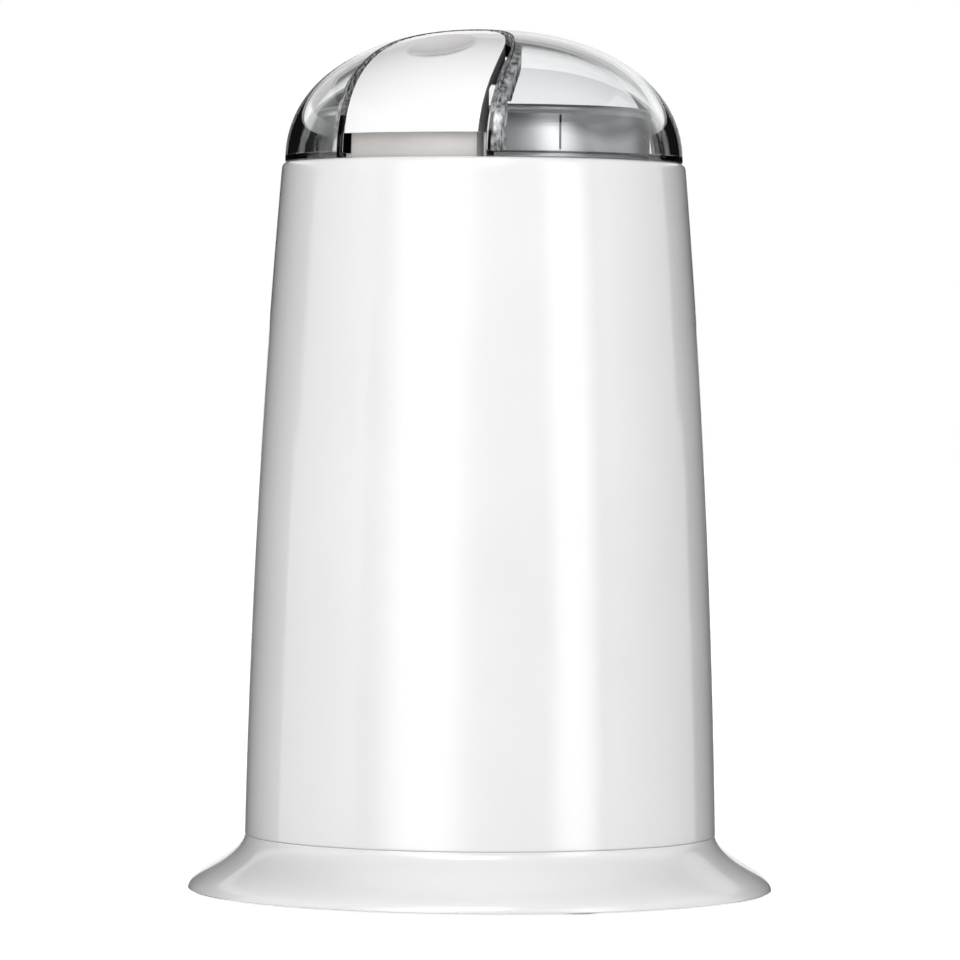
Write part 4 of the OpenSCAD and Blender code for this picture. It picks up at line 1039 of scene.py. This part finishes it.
def studio_world():
    """Soft light that grows towards the zenith, and plain white to the rays that show it."""
    world = bpy.data.worlds.new("studio")
    scene.world = world
    world.use_nodes = True
    tree = world.node_tree
    tree.nodes.clear()
    way = tree.nodes.new("ShaderNodeTexCoord")
    split = tree.nodes.new("ShaderNodeSeparateXYZ")
    tree.links.new(way.outputs["Generated"], split.inputs[0])
    dim = tree.nodes.new("ShaderNodeBackground")
    full = tree.nodes.new("ShaderNodeBackground")
    dim.inputs["Color"].default_value = (1, 1, 1, 1)
    full.inputs["Color"].default_value = (1, 1, 1, 1)
    full.inputs["Strength"].default_value = 1.0
    level = remap(tree, split.outputs["Z"], (0.1, 0.9), (AMBIENT, OVERHEAD))
    tree.links.new(level, dim.inputs["Strength"])
    out = tree.nodes.new("ShaderNodeOutputWorld")
    tree.links.new(mix_shaders(tree, seen(tree), dim, full), out.inputs["Surface"])


def floor_paper():
    """Pale paper that keeps the object's shadow, with a glow that brings it to the white of the
    world for the rays that show it."""
    material = bpy.data.materials.new("floor_paper")
    tree, shader = shader_of(material)
    shader.inputs["Roughness"].default_value = 0.7
    tone = ramp(tree, noise(tree, 6), (0.78, 0.78, 0.78), (0.80, 0.80, 0.80))
    tree.links.new(tone, shader.inputs["Base Color"])
    black = tree.nodes.new("ShaderNodeEmission")
    glow = tree.nodes.new("ShaderNodeEmission")
    black.inputs["Strength"].default_value = 0.0
    glow.inputs["Strength"].default_value = 0.85
    add = tree.nodes.new("ShaderNodeAddShader")
    tree.links.new(shader.outputs[0], add.inputs[0])
    tree.links.new(mix_shaders(tree, seen(tree), black, glow), add.inputs[1])
    tree.links.new(add.outputs[0], tree.nodes["Material Output"].inputs["Surface"])
    return material


def card_paper(name, level):
    """Shines at a level, in clouds of a tenth more and less."""
    material = bpy.data.materials.new(name)
    material.use_nodes = True
    tree = material.node_tree
    tree.nodes.clear()
    shine = tree.nodes.new("ShaderNodeEmission")
    out = tree.nodes.new("ShaderNodeOutputMaterial")
    tone = ramp(tree, noise(tree, 1.5), (level * 0.9,) * 3, (level * 1.1,) * 3)
    tree.links.new(tone, shine.inputs["Color"])
    tree.links.new(shine.outputs[0], out.inputs["Surface"])
    return material


def stage_mesh(name, verts, faces, material):
    """A mesh of the stage, from points in metres."""
    mesh = bpy.data.meshes.new(name)
    mesh.from_pydata(verts, [], faces)
    obj = placed(name, mesh)
    mesh.materials.append(material)
    return obj


def level_square(half, z):
    return [(-half, -half, z), (half, -half, z), (half, half, z), (-half, half, z)], [(0, 1, 2, 3)]


def card(name, verts, faces, level):
    """Studio card that only reflections and refractions show."""
    obj = stage_mesh(name, verts, faces, card_paper(name, level))
    obj.visible_camera = False
    obj.visible_diffuse = False
    obj.visible_shadow = False


def curved_card(name, start, stop, distance, reach_z, level):
    """Upright card round the object between two angles."""
    steps = max(2, int(abs(stop - start) / 6))
    verts, faces = [], []
    for i in range(steps + 1):
        place = direction(start + (stop - start) * i / steps) * distance
        verts += [(place.x, place.y, z) for z in reach_z]
        if i:
            faces.append((2 * i - 2, 2 * i, 2 * i + 1, 2 * i - 1))
    card(name, verts, faces, level)


def faded(tree, along, soft):
    """Rises from 0 to 1 over the first share of a run from 0 to 1, and falls over the last."""
    node = tree.nodes.new("ShaderNodeValToRGB")
    node.color_ramp.interpolation = "EASE"
    while len(node.color_ramp.elements) < 4:
        node.color_ramp.elements.new(0.5)
    stops = ((0, 0), (soft, 1), (1 - soft, 1), (1, 0))
    for element, (place, value) in zip(node.color_ramp.elements, stops):
        element.position = place
        element.color = (value, value, value, 1)
    tree.links.new(along, node.inputs["Fac"])
    return node.outputs["Color"]


def softbox(name, offset, distance, z, size, radiance, fade, fade_v=0.0):
    """Rectangular lamp whose light fades over a share of its width, and of its height if asked."""
    target = Vector((0, 0, 0.09))
    data = bpy.data.lights.new(name, "AREA")
    data.shape = "RECTANGLE"
    data.size, data.size_y = size
    data.energy = math.pi * size[0] * size[1]
    data.use_nodes = True
    tree = data.node_tree
    where = tree.nodes.new("ShaderNodeNewGeometry")
    split = tree.nodes.new("ShaderNodeSeparateXYZ")
    tree.links.new(where.outputs["Parametric"], split.inputs[0])
    level = radiance
    for axis, soft in (("X", fade), ("Y", fade_v)):
        if soft:
            level = combine(tree, "MULTIPLY", faded(tree, split.outputs[axis], soft), level)
    tree.links.new(level, tree.nodes["Emission"].inputs["Strength"])
    lamp = placed(name, data)
    aimed(lamp, direction(offset) * distance + Vector((0, 0, z)), target)
    lamp.visible_camera = False
    return lamp


studio_world()
floor = stage_mesh("floor", *level_square(6, 0), floor_paper())
floor.visible_glossy = False
card("room_top", *level_square(3.4, 2.4), 0.15)
card("room_rim", *level_square(5.5, 2.42), 0.55)
softbox("softbox_left", -28, 0.95, 0.25, (1.10, 0.90), 2.2, fade=0.45)
softbox("softbox_right", 46.5, 0.95, 0.25, (0.60, 0.90), 2.5, fade=0.42)
softbox("softbox_top", -8, 1.0, 0.95, (0.9, 0.7), 4.6, fade=0.2, fade_v=0.2)
back = softbox("softbox_back", 178, 1.15, 0.8, (1.0, 0.7), 2.6, fade=0.3)
back.visible_transmission = False
back.visible_glossy = False
curved_card("room_front", -62, 66, ROOM_R, ROOM_Z, 0.14)
curved_card("room_left", -112, -62, ROOM_R, ROOM_Z, 0.75)
curved_card("room_right", 66, 128, ROOM_R, ROOM_Z, 0.75)
curved_card("flag_left", -172, -108, FLAG_R, FLAG_HIGH_Z, 0.006)
curved_card("flag_right", 120, 168, FLAG_R, FLAG_HIGH_Z, 0.006)
curved_card("flag_left_low", -165, -112, FLAG_R, FLAG_LOW_Z, 0.05)
curved_card("flag_right_low", 126, 165, FLAG_R, FLAG_LOW_Z, 0.05)
